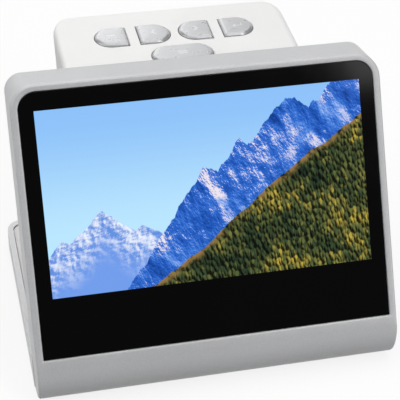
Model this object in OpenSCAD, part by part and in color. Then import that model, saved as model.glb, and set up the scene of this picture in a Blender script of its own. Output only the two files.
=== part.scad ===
// Desktop film negative scanner with a leaning five inch display.
// X runs to the right, Y to the back, Z up. The origin is on the table, under the middle of the
// object's box. Panel coordinates are x, v (up along the leaning front) and w (depth behind it),
// counted from the middle of the cover glass's lower edge.

/* [Display] */
// Lean of the display backwards from the vertical, in degrees
tilt = 32; // [28:1:36]
// Height of the cover glass along the leaning front
glass_h = 88.9; // [86:0.1:96]
// Thickness of the cover glass
glass_t = 1.4; // [1:0.1:2]
// Radius of the cover glass's two upper corners
glass_r = 6; // [3:0.5:8]
// Height of the cover glass's lower edge above the table
glass_lift = 20.3; // [18:0.1:24]
// Width of the lit picture
screen_w = 110.7; // [104:0.1:118]
// Width of the black border beside the picture
glass_side = 5.05; // [4.8:0.05:8]
// Height of the lit picture
screen_h = 62.3; // [56:0.1:64]
// Distance from the cover glass's upper edge to the picture
screen_drop = 6.3; // [5:0.1:8]
// Width of the silver rim beside the glass
rim_side = 2.6; // [2.2:0.1:4]
// Width of the silver rim above the glass
rim_top = 2.3; // [2:0.1:4]
// Step from the silver rim down to the glass
rim_proud = 0.4; // [0.2:0.1:0.8]
// Thickness of the display housing, square to the glass
housing_t = 16.5; // [15:0.5:18]
// Radius of the display housing's upper corners
housing_r = 8.5; // [6:0.5:10]
// Rise of the top wall towards the back, against the square of the glass, in degrees
top_flare = 13; // [6:1:16]
// Radius of the bend from the chin to the underside
chin_r = 10; // [8:0.5:12]
// Wall thickness of the display housing
housing_wall = 2; // [1.6:0.1:2.4]
// Thickness of the ledge behind the cover glass
ledge_t = 1.5; // [1.2:0.1:2]
// Thickness of the back cover of the display
back_t = 2; // [1.6:0.1:2.4]

/* [Screen module] */
// Thickness of the tape between the glass and its ledge
tape_t = 0.3; // [0.2:0.1:0.5]
// Width of the tape ring
tape_w = 2.2; // [1.6:0.1:2.6]
// Thickness of the screen panel
panel_t = 1; // [0.8:0.1:1.2]
// Thickness of the backlight behind the screen panel
backlight_t = 1.8; // [1.4:0.1:2.2]
// Sheet thickness of the screen's metal frame
frame_t = 0.4; // [0.3:0.1:0.6]
// Border of the screen's frame beside and above the picture
frame_side = 1.6; // [1.4:0.1:2]
// Border of the screen's frame below the picture
frame_foot = 5.3; // [4:0.1:7]

/* [Leaning body] */
// Width of the white body
body_w = 84; // [80:1:92]
// Room behind the film's middle line, up to the rear wall, for the lens holder
camera_room = 7.45; // [7.4:0.05:10]
// Height of the white body's level top
body_top = 89.3; // [86:0.1:92]
// Radius of the white body's two rear edges
body_r = 6.5; // [4:0.5:8]
// Wall thickness of the white body
body_wall = 2; // [1.6:0.1:2.4]
// Thickness of the level top wall
top_wall = 2.2; // [1.8:0.1:2.6]

/* [Buttons] */
// Width of each of the four rounded buttons
button_w = 11.3; // [10.5:0.1:12]
// Front to back size of the four rounded buttons
button_d = 11.6; // [10:0.1:12]
// Gap between the two buttons of a pair
pair_gap = 4.2; // [3.4:0.1:5]
// Gap between the two pairs
middle_gap = 3.3; // [2.8:0.1:4]
// Distance from the body's rear top edge to the middle of the row
row_back = 16.3; // [15.5:0.1:17.5]
// Width of the oval button
oval_w = 21.6; // [18:0.1:24]
// Front to back size of the oval button
oval_d = 11.4; // [10:0.1:11.6]
// Distance from the body's rear top edge to the middle of the oval button
oval_back = 30.7; // [30:0.1:31.2]
// Height of the buttons above the top wall
button_proud = 1; // [0.6:0.1:1.5]
// Travel of each button
button_travel = 1; // [0.6:0.1:1.2]
// Running gap around each button
button_gap = 0.25; // [0.2:0.05:0.4]
// Overhang of the lip that keeps a button in
lip_w = 0.8; // [0.6:0.1:1]
// Thickness of that lip
lip_t = 0.8; // [0.6:0.1:1]

/* [Switches] */
// Side of the square switch bodies
switch_w = 6; // [5:0.5:7]
// Height of the switch bodies
switch_h = 3.4; // [3:0.1:4]
// Radius of the switch plungers
plunger_r = 1.7; // [1.4:0.1:2]
// Thickness of every circuit board
board_t = 1.6; // [1.2:0.1:2]

/* [Base] */
// How far the base tray stands out beside the display housing, on each side
base_side = 0.2; // [0:0.1:1]
// Height of the base tray's rim above the table
base_top = 8.8; // [8.4:0.1:11]
// Width of the base tray's rim
base_rim = 2.1; // [1.8:0.1:2.6]
// Thickness of the base tray's floor
base_floor = 1.8; // [1.6:0.1:2.2]
// Radius of the base tray's two rear corners
base_r = 5.5; // [4:0.5:8]
// Thickness of the white deck plate
deck_t = 1.4; // [1.2:0.1:1.8]
// Step from the rim down to the deck
deck_drop = 0.5; // [0.3:0.1:0.8]
// Radius of the rubber feet
foot_r = 5; // [4:0.5:6]
// Height of the tray's underside above the table
foot_proud = 0.8; // [0.6:0.1:1.2]
// Depth of the feet's pockets
foot_pocket = 0.8; // [0.6:0.1:0.9]

/* [Film path] */
// Room for the screw bosses before and behind the film channel
scan_side = 5.5; // [5.3:0.1:7]
// Height of the scan housing's roof above the table
scan_top = 34.8; // [34:0.1:37]
// Wall thickness of the scan housing
scan_wall = 2; // [1.6:0.1:2.2]
// Width of the film tray
tray_w = 42; // [40:0.5:43]
// Thickness of the film tray's lower half
tray_t = 3.6; // [3.2:0.1:4]
// Thickness of the film tray's cover
cover_t = 1.4; // [1:0.1:1.8]
// Length of the film tray's grip outside the housing
grip_l = 8; // [6:0.5:12]
// Length of the film window
window_l = 36; // [32:1:38]
// Width of the film window
window_w = 24; // [20:1:26]
// Plate thickness of the film channel
channel_t = 1.2; // [1:0.1:1.5]
// Height of the light box under the film channel
light_h = 3.8; // [3.6:0.1:4.4]

/* [Camera] */
// Outer radius of the lens barrel
barrel_r = 5.5; // [5:0.1:6]
// Length of the lens barrel
barrel_l = 12; // [10:0.5:13]
// Radius of the lens elements
lens_r = 4.1; // [3.5:0.1:4.4]
// Height of the sensor board above the scan housing's roof
sensor_lift = 18.2; // [17:0.1:20]

/* [Sockets] */
// Width of the data and power socket
data_socket_w = 9; // [8:0.1:10]
// Height of the data and power socket
data_socket_h = 3.2; // [2.8:0.1:3.6]
// Width of the video socket
video_socket_w = 11.4; // [10:0.1:12]
// Height of the video socket
video_socket_h = 3.4; // [3:0.1:3.8]
// Width of the memory card slot
card_slot_w = 24.4; // [24:0.1:25]
// Height of the memory card slot
card_slot_h = 2.4; // [2.2:0.1:2.8]

/* [Fits] */
// Seam left between two casing parts
seam = 0.2; // [0.1:0.05:0.3]
// Clearance of a part that is held still in its seat
fit = 0.2; // [0.1:0.05:0.3]
// Running clearance of the film tray
slide_fit = 0.3; // [0.25:0.05:0.4]
// Radius of the case screws' shanks
screw_r = 1; // [0.9:0.05:1.2]

/* [Hidden] */
$fn = 64;

reach = 400;
eps = 0.01;
// A bend is drawn this much too large, so that it cuts its flats instead of just touching them
touch = 0.002;

// Places of the leaning front, as seen from the side
function lean_y(z, w) = (z - glass_lift) * tan(tilt) + w / cos(tilt);
glass_w = screen_w + 2 * glass_side;
housing_w = glass_w + 2 * rim_side;
housing_top = glass_h + rim_top;
channel_w = tray_w + 2 * slide_fit + 2 * channel_t;
scan_d = channel_w + 2 * scan_side;
scan_gap = 0.4;
body_t = body_wall + (scan_gap + scan_d / 2 + camera_room) * cos(tilt);
body_front = housing_t + seam;
body_back = body_front + body_t;
chin_z = foot_proud + chin_r;
nose_y = lean_y(chin_z, chin_r) - chin_r;
tail_y = lean_y(body_top, body_back);
panel_y = -(nose_y + tail_y) / 2;
rear_y = panel_y + tail_y;
function lean(z, w) = [panel_y + lean_y(z, w), z];
function side(v, w) = [
    panel_y + v * sin(tilt) + w * cos(tilt),
    glass_lift + v * cos(tilt) - w * sin(tilt)
];

// Layers behind the glass, as depths
glass_back = rim_proud + glass_t;
ledge_w = glass_back + tape_t;
bezel_in = ledge_w + ledge_t;
back_w = housing_t - back_t;
panel_w = glass_back + panel_t;
light_w = panel_w + backlight_t;
frame_w = light_w + frame_t;
screen_v = glass_h - screen_drop - screen_h / 2;
frame_x = screen_w / 2 + frame_side;
frame_v0 = screen_v - screen_h / 2 - frame_foot;
frame_v1 = screen_v + screen_h / 2 + frame_side;
panel_rim = 0.6;

// Screws
head_r = 1.9 * screw_r;
head_h = 1.3;
boss_r = screw_r + 1.35;
hole_r = screw_r + 0.15;
thread_r = screw_r + 0.05;
cross_w = 0.4;
cross_d = 0.7;
back_screw_l = 9;
shell_screw_l = 6;
roof_screw_l = 8;
chin_screw_l = 4;
base_screw_l = 12.5;
board_screw_l = 6;
main_screw_l = 4.5;
sensor_screw_l = 5;
holder_screw_l = 4;

// The display's own screws, as x and v
back_low_v = 6;
back_high_v = (frame_v1 + housing_top - housing_wall) / 2;
back_screw_share = 0.36;
back_screw_x = back_screw_share * housing_w;
back_spots = [
    [-back_screw_x, back_low_v], [back_screw_x, back_low_v],
    [-back_screw_x, back_high_v], [back_screw_x, back_high_v]
];

// Flanges that join the leaning body to the display's back cover
flange_w = 6;
flange_t = 2.4;
flange_boss = 6;
shell_screw_x = body_w / 2 - body_wall - flange_w / 2;
shell_shares = [0.42, 0.78];
shell_spots = [for (v = shell_shares, s = [-1, 1]) [s * shell_screw_x, v * housing_top]];

// Button stack, as heights
top_under = body_top - top_wall;
lip_top = top_under - slide_fit;
stem_l = 0.9;
stem_foot = lip_top - lip_t - stem_l;
plunger_top = stem_foot;
switch_gap = 0.1;
switch_top = plunger_top - button_travel - switch_gap;
board_top = switch_top - switch_h;
row_y = rear_y - row_back;
oval_y = rear_y - oval_back;
pair_x = middle_gap / 2 + button_w + pair_gap / 2;
button_dx = (button_w + pair_gap) / 2;
button_places = [
    [-pair_x - button_dx, row_y], [-pair_x + button_dx, row_y],
    [pair_x - button_dx, row_y], [pair_x + button_dx, row_y], [0, oval_y]
];
stem_r = 2.5;
plunger_gap = 0.1;
plunger_in = 1.6;
board_side = 8;
board_front = 0.4;
board_rear = 0.6;
post_edge = 3;
oval_post = 9;
button_board_x = pair_x + button_dx + button_w / 2 + board_side;
button_board_y0 = oval_y - oval_d / 2 - board_front;
button_board_y1 = row_y + button_d / 2 + board_rear;
button_posts = [
    [-button_board_x + post_edge, row_y], [button_board_x - post_edge, row_y],
    [-oval_w / 2 - oval_post, oval_y], [oval_w / 2 + oval_post, oval_y]
];

// Scan housing
scan_y0 = lean(scan_top, body_front)[0] + scan_gap;
scan_y1 = scan_y0 + scan_d;
scan_r = 4;
axis_y = (scan_y0 + scan_y1) / 2;

// Base
base_w = housing_w + 2 * base_side;
base_rear = scan_y1 + scan_gap + fit + base_rim;
floor_top = foot_proud + base_floor;
deck_top = base_top - deck_drop;
deck_under = deck_top - deck_t;
step_w = 1;
post_r = 3.2;
head_room = 0.3;
foot_edge = 12;
foot_x = base_w / 2 - foot_edge;
foot_front = lean(foot_proud, body_front)[0] + foot_r + 3;
foot_rear = base_rear - foot_edge;

// Lugs of the display's back cover that are screwed to the tray's floor
lug_x = 30;
lug_w = 8;
lug_lift = 1.4;
lug_z0 = floor_top + lug_lift;
lug_z1 = deck_under - fit;
lug_y = lean(lug_z0, body_front)[0] + post_r + fit;

// Film path
shell_foot = scan_top + seam;
roof_under = scan_top - scan_wall;
channel_z = deck_top + light_h;
tray_z = channel_z + channel_t + slide_fit;
tray_h = tray_t + cover_t;
channel_h = 2 * channel_t + 2 * slide_fit + tray_h;
channel_x = body_w / 2 - scan_wall - slide_fit;
tray_x = body_w / 2;
film_w = 35.4;
film_t = 0.4;
window_rim = 1;
cover_l = 66;
detent_r = 1.2;
spring_l = 10;
spring_w = 6;
spring_t = 0.4;
spring_gap = 1.5;
tunnel_border = 4;
tunnel_l = window_l + 2 * tunnel_border;
tunnel_w = window_w + 2 * tunnel_border;
tunnel_t = 1.2;
detent_x = tunnel_l / 2 + spring_gap + spring_l / 2;
scan_boss_y = scan_wall + 1.2;
base_screw_edge = 9;
base_screw_x = body_w / 2 - base_screw_edge;
base_spots = [
    for (x = [-1, 1], y = [scan_y0 + scan_boss_y, scan_y1 - scan_boss_y]) [x * base_screw_x, y]
];
scan_boss_r = scan_side - scan_boss_y - 0.05;
roof_screw_x = body_w / 2 - body_wall - boss_r + 0.4;
roof_pitch = 14;
roof_spots = [for (x = [-1, 1], y = [-roof_pitch, 0]) [x * roof_screw_x, axis_y + y]];
roof_boss_h = 9;

// Opening in the roof under the lens, and the ribs and film stop of the tray
lens_room = 10;
lens_room_rear = 7;
rib_pitch = 2;
rib_r = 0.6;
rib_count = 3;
rib_end = 0.4;
film_stop = 6;

// Light box
light_wall = 1.2;
light_floor = 1;
light_border = 6;
light_l = window_l + 2 * light_border;
light_d = window_w + 2 * light_border;
led_t = 0.8;
led_h = 0.7;
led_w = 3.5;
led_d = 2.8;
led_dx = 8;
led_dy = 9;
diffuser_t = 1.2;
led_z = deck_top + light_floor;
diffuser_z = channel_z - diffuser_t;

// Camera
holder_t = 2;
holder_x = 15;
holder_front = 12;
holder_rear = 7.2;
holder_tube = 11.2;
holder_wall = 1.5;
barrel_z = scan_top + holder_t - 1;
barrel_bore = lens_r + 0.1;
lens_t = 2.4;
lens_bulge = 0.6;
lens_seat = 0.6;
thread_gap = 0.1;
sensor_z = scan_top + sensor_lift;
sensor_x = 14;
sensor_y = 9;
sensor_chip = [8, 7, 1.2];
sensor_thread = 5;
sensor_post_x = 12;
sensor_post_y = 5;
holder_edge = 3;
holder_spots = [
    [-holder_x + holder_edge, axis_y - holder_front + holder_edge + fit],
    [holder_x - holder_edge, axis_y + holder_rear - holder_edge]
];

// Main board, along the leaning body's rear wall
standoff = 4.2;
main_w = body_back - body_wall - standoff - board_t;
main_edge = 4;
main_x = body_w / 2 - body_wall - main_edge;
main_v0 = 57;
main_h = 33;
main_v1 = main_v0 + main_h;
main_spots = [for (x = [-1, 1], v = [main_v0 + 2.4, main_v1 - 2]) [x * (main_x - 3), v]];
socket_x = body_w / 2 - 0.5;
socket_l = 7.4;
socket_wall = 0.3;
socket_back = 0.4;
tongue_in = 1.5;
data_v = 67;
video_v = 79;
card_v = 73.7;
card_l = 27;
socket_room = 0.6;
data_size = [data_socket_w, data_socket_h];
video_size = [video_socket_w, video_socket_h];
card_size = [card_slot_w, card_slot_h];

// Parts on the main board's front face between the card socket and the side sockets, each as
// x, v, width, height, thickness
card_end = card_l - socket_x;
side_end = socket_x - socket_l;
high_row = main_v1 - 7;
low_row = main_v0 + 5;
chips = [
    [card_end + 16.5, high_row, 12, 11, 1.4], [card_end + 5.5, high_row, 6, 9, 1.1],
    [card_end + 29, high_row + 3, 4, 4, 2], [card_end + 4.5, low_row, 7, 5, 1],
    [side_end - 14.1, low_row, 5, 5, 2.2], [side_end - 23.1, low_row, 6, 4, 1.1],
    [side_end - 7.1, low_row, 3, 5, 1.8]
];

// Ribbons: from the screen's frame through the back cover, and from the sensor board
flex_t = 0.3;
flex_x = 21;
flex_v = 60;
flex_w = 12;
flex_run = 26;
flex_step = 4;
flex_pad = 5;
on_frame = frame_w + flex_t / 2;
on_board = main_w - flex_t / 2;
display_flex_path = [
    side(flex_v - 2 * flex_step - flex_run, on_frame), side(flex_v - 2 * flex_step, on_frame),
    side(flex_v - flex_step, frame_w + flex_step / 2), side(flex_v - flex_step / 4, back_w - 3),
    side(flex_v, back_w + flex_step / 4), side(flex_v, housing_t + flex_step / 2),
    side(flex_v + flex_step / 2, housing_t + 2 * flex_step + 1),
    side(flex_v + 1.5 * flex_step, main_w - 1.5 * flex_step),
    side(flex_v + 2.25 * flex_step, main_w - flex_step / 2),
    side(flex_v + 3.25 * flex_step, on_board), side(flex_v + 3.25 * flex_step + flex_pad, on_board)
];
sensor_flex_z = sensor_z + board_t + flex_t / 2;
sensor_flex_w = 10;
sensor_flex_path = [
    [axis_y, sensor_flex_z], [axis_y + 1.5 * flex_step, sensor_flex_z],
    [axis_y + 2.25 * flex_step, sensor_flex_z + flex_step / 4],
    side(main_v0 + 3 * flex_step, main_w - 3), side(main_v0 + 3.6 * flex_step, on_board),
    side(main_v0 + 3.6 * flex_step + flex_pad, on_board)
];

module panel_frame() {
    translate([0, panel_y, glass_lift]) rotate([90 - tilt, 0, 0]) children();
}

// A straight rod square to the glass, from depth w0 to depth w1
module panel_rod(spot, w0, w1, r) {
    panel_frame() translate([spot[0], spot[1], -w1]) cylinder(h = w1 - w0, r = r);
}

// A flat sheet parallel to the glass, from depth w0 to depth w1
module panel_sheet(w0, w1) {
    panel_frame() translate([0, 0, -w1]) linear_extrude(w1 - w0) children();
}

// A side view outline, given as y and z, drawn out across the object
module across(width, x = 0) {
    translate([x, 0, 0]) rotate([90, 0, 90]) linear_extrude(width, center = true) children();
}

// The leaning band between two depths and two heights, in side view
module lean_band(w0, w1, z0, z1) {
    polygon([lean(z0, w0), lean(z1, w0), lean(z1, w1), lean(z0, w1)]);
}

// The same band with its lower front corner bent round
module chin_band(w0, w1, z0, r) {
    c = lean(z0 + r, w0 + r);
    bend = c + r * [-cos(tilt), sin(tilt)];
    intersection() {
        lean_band(w0 - 1, w1, z0 - 1, reach);
        union() {
            polygon([bend, lean(reach, w0), lean(reach, w1 + r), lean(z0, w1 + r), [c[0], z0], c]);
            translate(c) circle(r + touch);
        }
    }
}

// Outline with two rounded upper corners, its lower edge at y0
module arch_outline(width, y0, y1, r) {
    union() {
        translate([-width / 2, y0]) square([width, y1 - y0 - r]);
        translate([-width / 2 + r, y0]) square([width - 2 * r, y1 - y0]);
        for (s = [-1, 1]) translate([s * (width / 2 - r), y1 - r]) circle(r);
    }
}

// The display housing's outside without its chin, shrunk by an inset
module housing_prism(inset) {
    panel_frame() translate([0, housing_top, 0]) rotate([top_flare, 0, 0])
        translate([0, 0, -reach / 2]) linear_extrude(reach)
            arch_outline(housing_w - 2 * inset, -reach / 2, -inset, housing_r - inset);
}

// The leaning body's outline in x and depth, drawn out along the lean
module body_prism(inset, w0) {
    panel_frame() rotate([-90, 0, 0]) translate([0, 0, -reach / 2]) linear_extrude(reach)
        arch_outline(body_w - 2 * inset, w0, body_back - inset, body_r - inset);
}

module level_slab(z0, z1) {
    translate([-reach / 2, -reach / 2, z0]) cube([reach, reach, z1 - z0]);
}

// Rounded box with upright corners, from z0 to z1
module round_block(x, y0, y1, z0, z1, r) {
    translate([0, 0, z0]) linear_extrude(z1 - z0) union() {
        translate([-x + r, y0]) square([2 * x - 2 * r, y1 - y0]);
        translate([-x, y0 + r]) square([2 * x, y1 - y0 - 2 * r]);
        for (sx = [-1, 1], y = [y0 + r, y1 - r]) translate([sx * (x - r), y]) circle(r);
    }
}

module block(x, y0, y1, z0, z1) {
    translate([-x, y0, z0]) cube([2 * x, y1 - y0, z1 - z0]);
}

// Cross-head screw with its head's seat at the origin and its shank downwards
module screw(length) {
    difference() {
        union() {
            cylinder(h = head_h, r = head_r);
            translate([0, 0, -length]) cylinder(h = length + eps, r = screw_r);
        }
        for (a = [0, 90]) rotate([0, 0, a])
            translate([-0.65 * head_r, -cross_w / 2, head_h - cross_d])
                cube([1.3 * head_r, cross_w, head_h]);
    }
}

// Screw into the display from behind or from inside, along the panel's depth
module panel_screw(spot, seat_w, length, from_back) {
    panel_frame() translate([spot[0], spot[1], -seat_w])
        rotate([from_back ? 180 : 0, 0, 0]) screw(length);
}

module ribbon(points, x, width) {
    last = len(points) - 1;
    dirs = [for (i = [0:last]) points[min(i + 1, last)] - points[max(i - 1, 0)]];
    sides = [for (d = dirs) [-d[1], d[0]] / norm(d) * flex_t / 2];
    across(width, x) polygon(concat(
        [for (i = [0:last]) points[i] + sides[i]],
        [for (i = [last:-1:0]) points[i] - sides[i]]
    ));
}

// ---- Display housing

module glass_outline(grow) {
    translate([0, -grow]) arch_outline(glass_w + 2 * grow, 0, glass_h + 2 * grow, glass_r + grow);
}

module frame_outline(grow) {
    translate([-frame_x - grow, frame_v0 - grow])
        square([2 * (frame_x + grow), frame_v1 - frame_v0 + 2 * grow]);
}

module front_bezel() {
    color("silver") difference() {
        union() {
            difference() {
                intersection() {
                    housing_prism(0);
                    across(reach) chin_band(0, housing_t, foot_proud, chin_r);
                }
                intersection() {
                    housing_prism(housing_wall);
                    across(reach) chin_band(bezel_in, reach / 4, floor_top, chin_r - bezel_in);
                }
                panel_sheet(-eps, ledge_w) glass_outline(fit / 2);
                panel_sheet(0, bezel_in + eps) frame_outline(fit);
            }
            for (p = back_spots) panel_rod(p, bezel_in - eps, back_w, boss_r);
        }
        for (p = back_spots) panel_rod(p, bezel_in + 2, back_w + eps, thread_r);
    }
}

module cover_glass() {
    color("black") panel_sheet(rim_proud, glass_back) glass_outline(0);
}

module glass_tape() {
    edge = 0.5;
    color("dimgray") panel_sheet(glass_back, ledge_w) difference() {
        glass_outline(-edge);
        glass_outline(-edge - tape_w);
    }
}

module lcd_screen() {
    color("steelblue") panel_sheet(glass_back, panel_w) translate([0, screen_v])
        square([screen_w + 2 * panel_rim, screen_h + 2 * panel_rim], center = true);
}

module lcd_backlight() {
    color("white") panel_sheet(panel_w, light_w) translate([0, screen_v])
        square([screen_w + 2 * panel_rim, screen_h + 2 * panel_rim], center = true);
}

module lcd_frame() {
    color("gainsboro") difference() {
        panel_sheet(glass_back, frame_w) frame_outline(0);
        panel_sheet(glass_back - eps, light_w) translate([0, screen_v])
            square([screen_w + 2 * panel_rim + fit, screen_h + 2 * panel_rim + fit], center = true);
    }
}

module display_back() {
    pad_x = 0.28 * screen_w;
    pad_shares = [0.3, 0.62];
    pad_r = 3;
    slot = [flex_w + 2, flex_step];
    color("silver") difference() {
        union() {
            intersection() {
                housing_prism(housing_wall + fit);
                across(reach) lean_band(back_w, housing_t, floor_top + fit, reach);
            }
            for (x = [-pad_x, pad_x], v = pad_shares)
                panel_rod([x, v * glass_h], frame_w, back_w + eps, pad_r);
            intersection() {
                for (x = [-lug_x, lug_x]) translate([x - lug_w / 2, lug_y - 2 * lug_w, lug_z0])
                    cube([lug_w, 2.5 * lug_w, lug_z1 - lug_z0]);
                across(reach) lean_band(back_w, reach, 0, base_top);
            }
        }
        for (x = [-lug_x, lug_x]) translate([x, lug_y, lug_z0 - 1]) cylinder(h = lug_w, r = thread_r);
        for (p = back_spots) {
            panel_rod(p, back_w - eps, housing_t + eps, hole_r);
            panel_rod(p, housing_t - head_h, housing_t + eps, head_r + fit);
        }
        for (p = shell_spots) panel_rod(p, back_w - eps, housing_t + eps, hole_r);
        panel_sheet(back_w - 1, housing_t + 1) translate([flex_x - slot[0] / 2, flex_v - slot[1] / 2])
            square(slot);
    }
}

module chin_screws() {
    color("dimgray") for (x = [-lug_x, lug_x]) translate([x, lug_y, foot_proud + head_h + head_room])
        rotate([180, 0, 0]) screw(chin_screw_l);
}

module back_screws() {
    color("dimgray") for (p = back_spots) panel_screw(p, housing_t - head_h, back_screw_l, true);
}

module display_flex() {
    color("darkorange") ribbon(display_flex_path, flex_x, flex_w);
}

// ---- Leaning body with its buttons

// Plan of a button: rounded on the left (-1), on the right (1) or at both ends (0)
module button_outline(width, depth, end, grow) {
    r = depth / 2 + grow;
    half = width / 2 + grow;
    union() {
        if (end <= 0) translate([-half + r, 0]) circle(r);
        if (end >= 0) translate([half - r, 0]) circle(r);
        x0 = end <= 0 ? -half + r : -half;
        x1 = end >= 0 ? half - r : half;
        translate([x0, -r]) square([x1 - x0, 2 * r]);
    }
}

function button_end(i) = i == 4 ? 0 : (i % 2 == 0 ? -1 : 1);
function button_size(i) = i == 4 ? [oval_w, oval_d] : [button_w, button_d];

module place_button(i, z0, z1, grow) {
    translate([button_places[i][0], button_places[i][1], z0]) linear_extrude(z1 - z0)
        button_outline(button_size(i)[0], button_size(i)[1], button_end(i), grow);
}

module body_shell() {
    color("whitesmoke") difference() {
        union() {
            difference() {
                intersection() {
                    body_prism(0, body_front);
                    level_slab(shell_foot, body_top);
                }
                intersection() {
                    body_prism(body_wall, body_front - 1);
                    level_slab(shell_foot - 1, top_under);
                }
            }
            for (s = [-1, 1]) across(flange_w + 1, s * (shell_screw_x + 0.5))
                lean_band(body_front, body_front + flange_t, shell_foot, top_under + eps);
            for (p = shell_spots) panel_rod(p, body_front, body_front + flange_boss, boss_r);
            for (p = main_spots) panel_rod(p, main_w + board_t, body_back - body_wall + eps, boss_r);
            for (p = button_posts) translate([p[0], p[1], board_top])
                cylinder(h = top_under - board_top + eps, r = boss_r);
            for (p = roof_spots) translate([p[0], p[1], shell_foot])
                cylinder(h = roof_boss_h, r = boss_r);
        }
        for (i = [0:4]) place_button(i, top_under - 1, body_top + 1, button_gap);
        for (p = shell_spots) panel_rod(p, body_front - eps, body_front + flange_boss - 1, thread_r);
        for (p = main_spots) panel_rod(p, main_w + board_t - eps, body_back - 1, thread_r);
        for (p = button_posts) translate([p[0], p[1], board_top - eps]) cylinder(h = 5, r = thread_r);
        for (p = roof_spots) translate([p[0], p[1], shell_foot - eps]) cylinder(h = 7, r = thread_r);
        socket_opening(1, data_v, data_size);
        socket_opening(1, video_v, video_size);
        socket_opening(-1, card_v, card_size);
    }
}

// Opening through the side wall for a socket on the main board, on side 1 or -1
module socket_opening(s, v, size) {
    panel_frame() translate([s * body_w / 2, v, -main_w + size[1] / 2])
        cube([2 * body_wall + 2, size[0] + socket_room, size[1] + socket_room], center = true);
}

module shell_screws() {
    color("dimgray") for (p = shell_spots) panel_screw(p, back_w, shell_screw_l, false);
}

module roof_screws() {
    color("dimgray") for (p = roof_spots) translate([p[0], p[1], roof_under])
        rotate([180, 0, 0]) screw(roof_screw_l);
}

module button(i) {
    color("lightgray") union() {
        place_button(i, lip_top - eps, body_top + button_proud, 0);
        place_button(i, lip_top - lip_t, lip_top, lip_w);
        translate([button_places[i][0], button_places[i][1], stem_foot])
            cylinder(h = lip_top - stem_foot, r = stem_r);
    }
}

module plunger(i) {
    color("black") translate([button_places[i][0], button_places[i][1], switch_top - plunger_in])
        cylinder(h = plunger_top - switch_top + plunger_in, r = plunger_r);
}

module tact_switches() {
    hole = plunger_in + button_travel + 0.2;
    color("gray") for (p = button_places) translate([p[0], p[1], board_top]) difference() {
        translate([-switch_w / 2, -switch_w / 2, 0]) cube([switch_w, switch_w, switch_h]);
        translate([0, 0, switch_h - hole]) cylinder(h = hole + 1, r = plunger_r + plunger_gap);
    }
}

module button_board() {
    color("darkgreen") difference() {
        block(button_board_x, button_board_y0, button_board_y1, board_top - board_t, board_top);
        for (p = button_posts) translate([p[0], p[1], board_top - board_t - 1])
            cylinder(h = board_t + 2, r = hole_r);
    }
}

module button_board_screws() {
    color("dimgray") for (p = button_posts) translate([p[0], p[1], board_top - board_t])
        rotate([180, 0, 0]) screw(board_screw_l);
}

// ---- Scan housing, light and film path

module scan_housing() {
    slot_w = tray_w + 2 * slide_fit;
    slot_h = tray_h + 2 * slide_fit;
    color("whitesmoke") difference() {
        union() {
            difference() {
                round_block(body_w / 2, scan_y0, scan_y1, deck_top, scan_top, scan_r);
                round_block(
                    body_w / 2 - scan_wall, scan_y0 + scan_wall, scan_y1 - scan_wall,
                    deck_top - 1, roof_under, scan_r - scan_wall
                );
            }
            for (p = base_spots) translate([p[0], p[1], deck_top])
                cylinder(h = roof_under - deck_top + eps, r = scan_boss_r);
        }
        translate([-reach / 2, axis_y - slot_w / 2, tray_z - slide_fit]) cube([reach, slot_w, slot_h]);
        block(
            lens_room, axis_y - lens_room, axis_y + lens_room_rear, roof_under - 1, scan_top + 1
        );
        for (p = base_spots) translate([p[0], p[1], deck_top - 1]) cylinder(h = 9, r = thread_r);
        for (p = roof_spots) translate([p[0], p[1], roof_under - 1]) cylinder(h = 4, r = hole_r);
        for (p = holder_spots) translate([p[0], p[1], roof_under - 1]) cylinder(h = 4, r = thread_r);
    }
}

module light_box() {
    color("white") difference() {
        block(light_l / 2, axis_y - light_d / 2, axis_y + light_d / 2, deck_top, channel_z);
        block(
            light_l / 2 - light_wall, axis_y - light_d / 2 + light_wall,
            axis_y + light_d / 2 - light_wall, diffuser_z, channel_z + 1
        );
        block(
            light_l / 2 - 2 * light_wall, axis_y - light_d / 2 + 2 * light_wall,
            axis_y + light_d / 2 - 2 * light_wall, led_z, channel_z
        );
    }
}

module led_board() {
    x = light_l / 2 - 2 * light_wall - fit;
    y = light_d / 2 - 2 * light_wall - fit;
    color("white") block(x, axis_y - y, axis_y + y, led_z, led_z + led_t);
}

module leds() {
    color("lightyellow") for (i = [-2:2], j = [-1:1])
        translate([i * led_dx - led_w / 2, axis_y + j * led_dy - led_d / 2, led_z + led_t])
            cube([led_w, led_d, led_h]);
}

module diffuser() {
    x = light_l / 2 - light_wall - fit / 2;
    y = light_d / 2 - light_wall - fit / 2;
    color("white") block(x, axis_y - y, axis_y + y, diffuser_z, channel_z);
}

module film_window(z0, z1, grow) {
    block(
        window_l / 2 + grow, axis_y - window_w / 2 - grow, axis_y + window_w / 2 + grow, z0, z1
    );
}

module film_channel() {
    in_w = tray_w / 2 + slide_fit;
    color("dimgray") difference() {
        block(
            channel_x, axis_y - channel_w / 2, axis_y + channel_w / 2,
            channel_z, channel_z + channel_h
        );
        block(
            channel_x + 1, axis_y - in_w, axis_y + in_w,
            channel_z + channel_t, channel_z + channel_h - channel_t
        );
        film_window(channel_z - 1, channel_z + channel_h + 1, window_rim);
        translate([detent_x, axis_y, channel_z + channel_h - channel_t - 1])
            cylinder(h = channel_t + 2, r = detent_r + slide_fit);
    }
}

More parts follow.
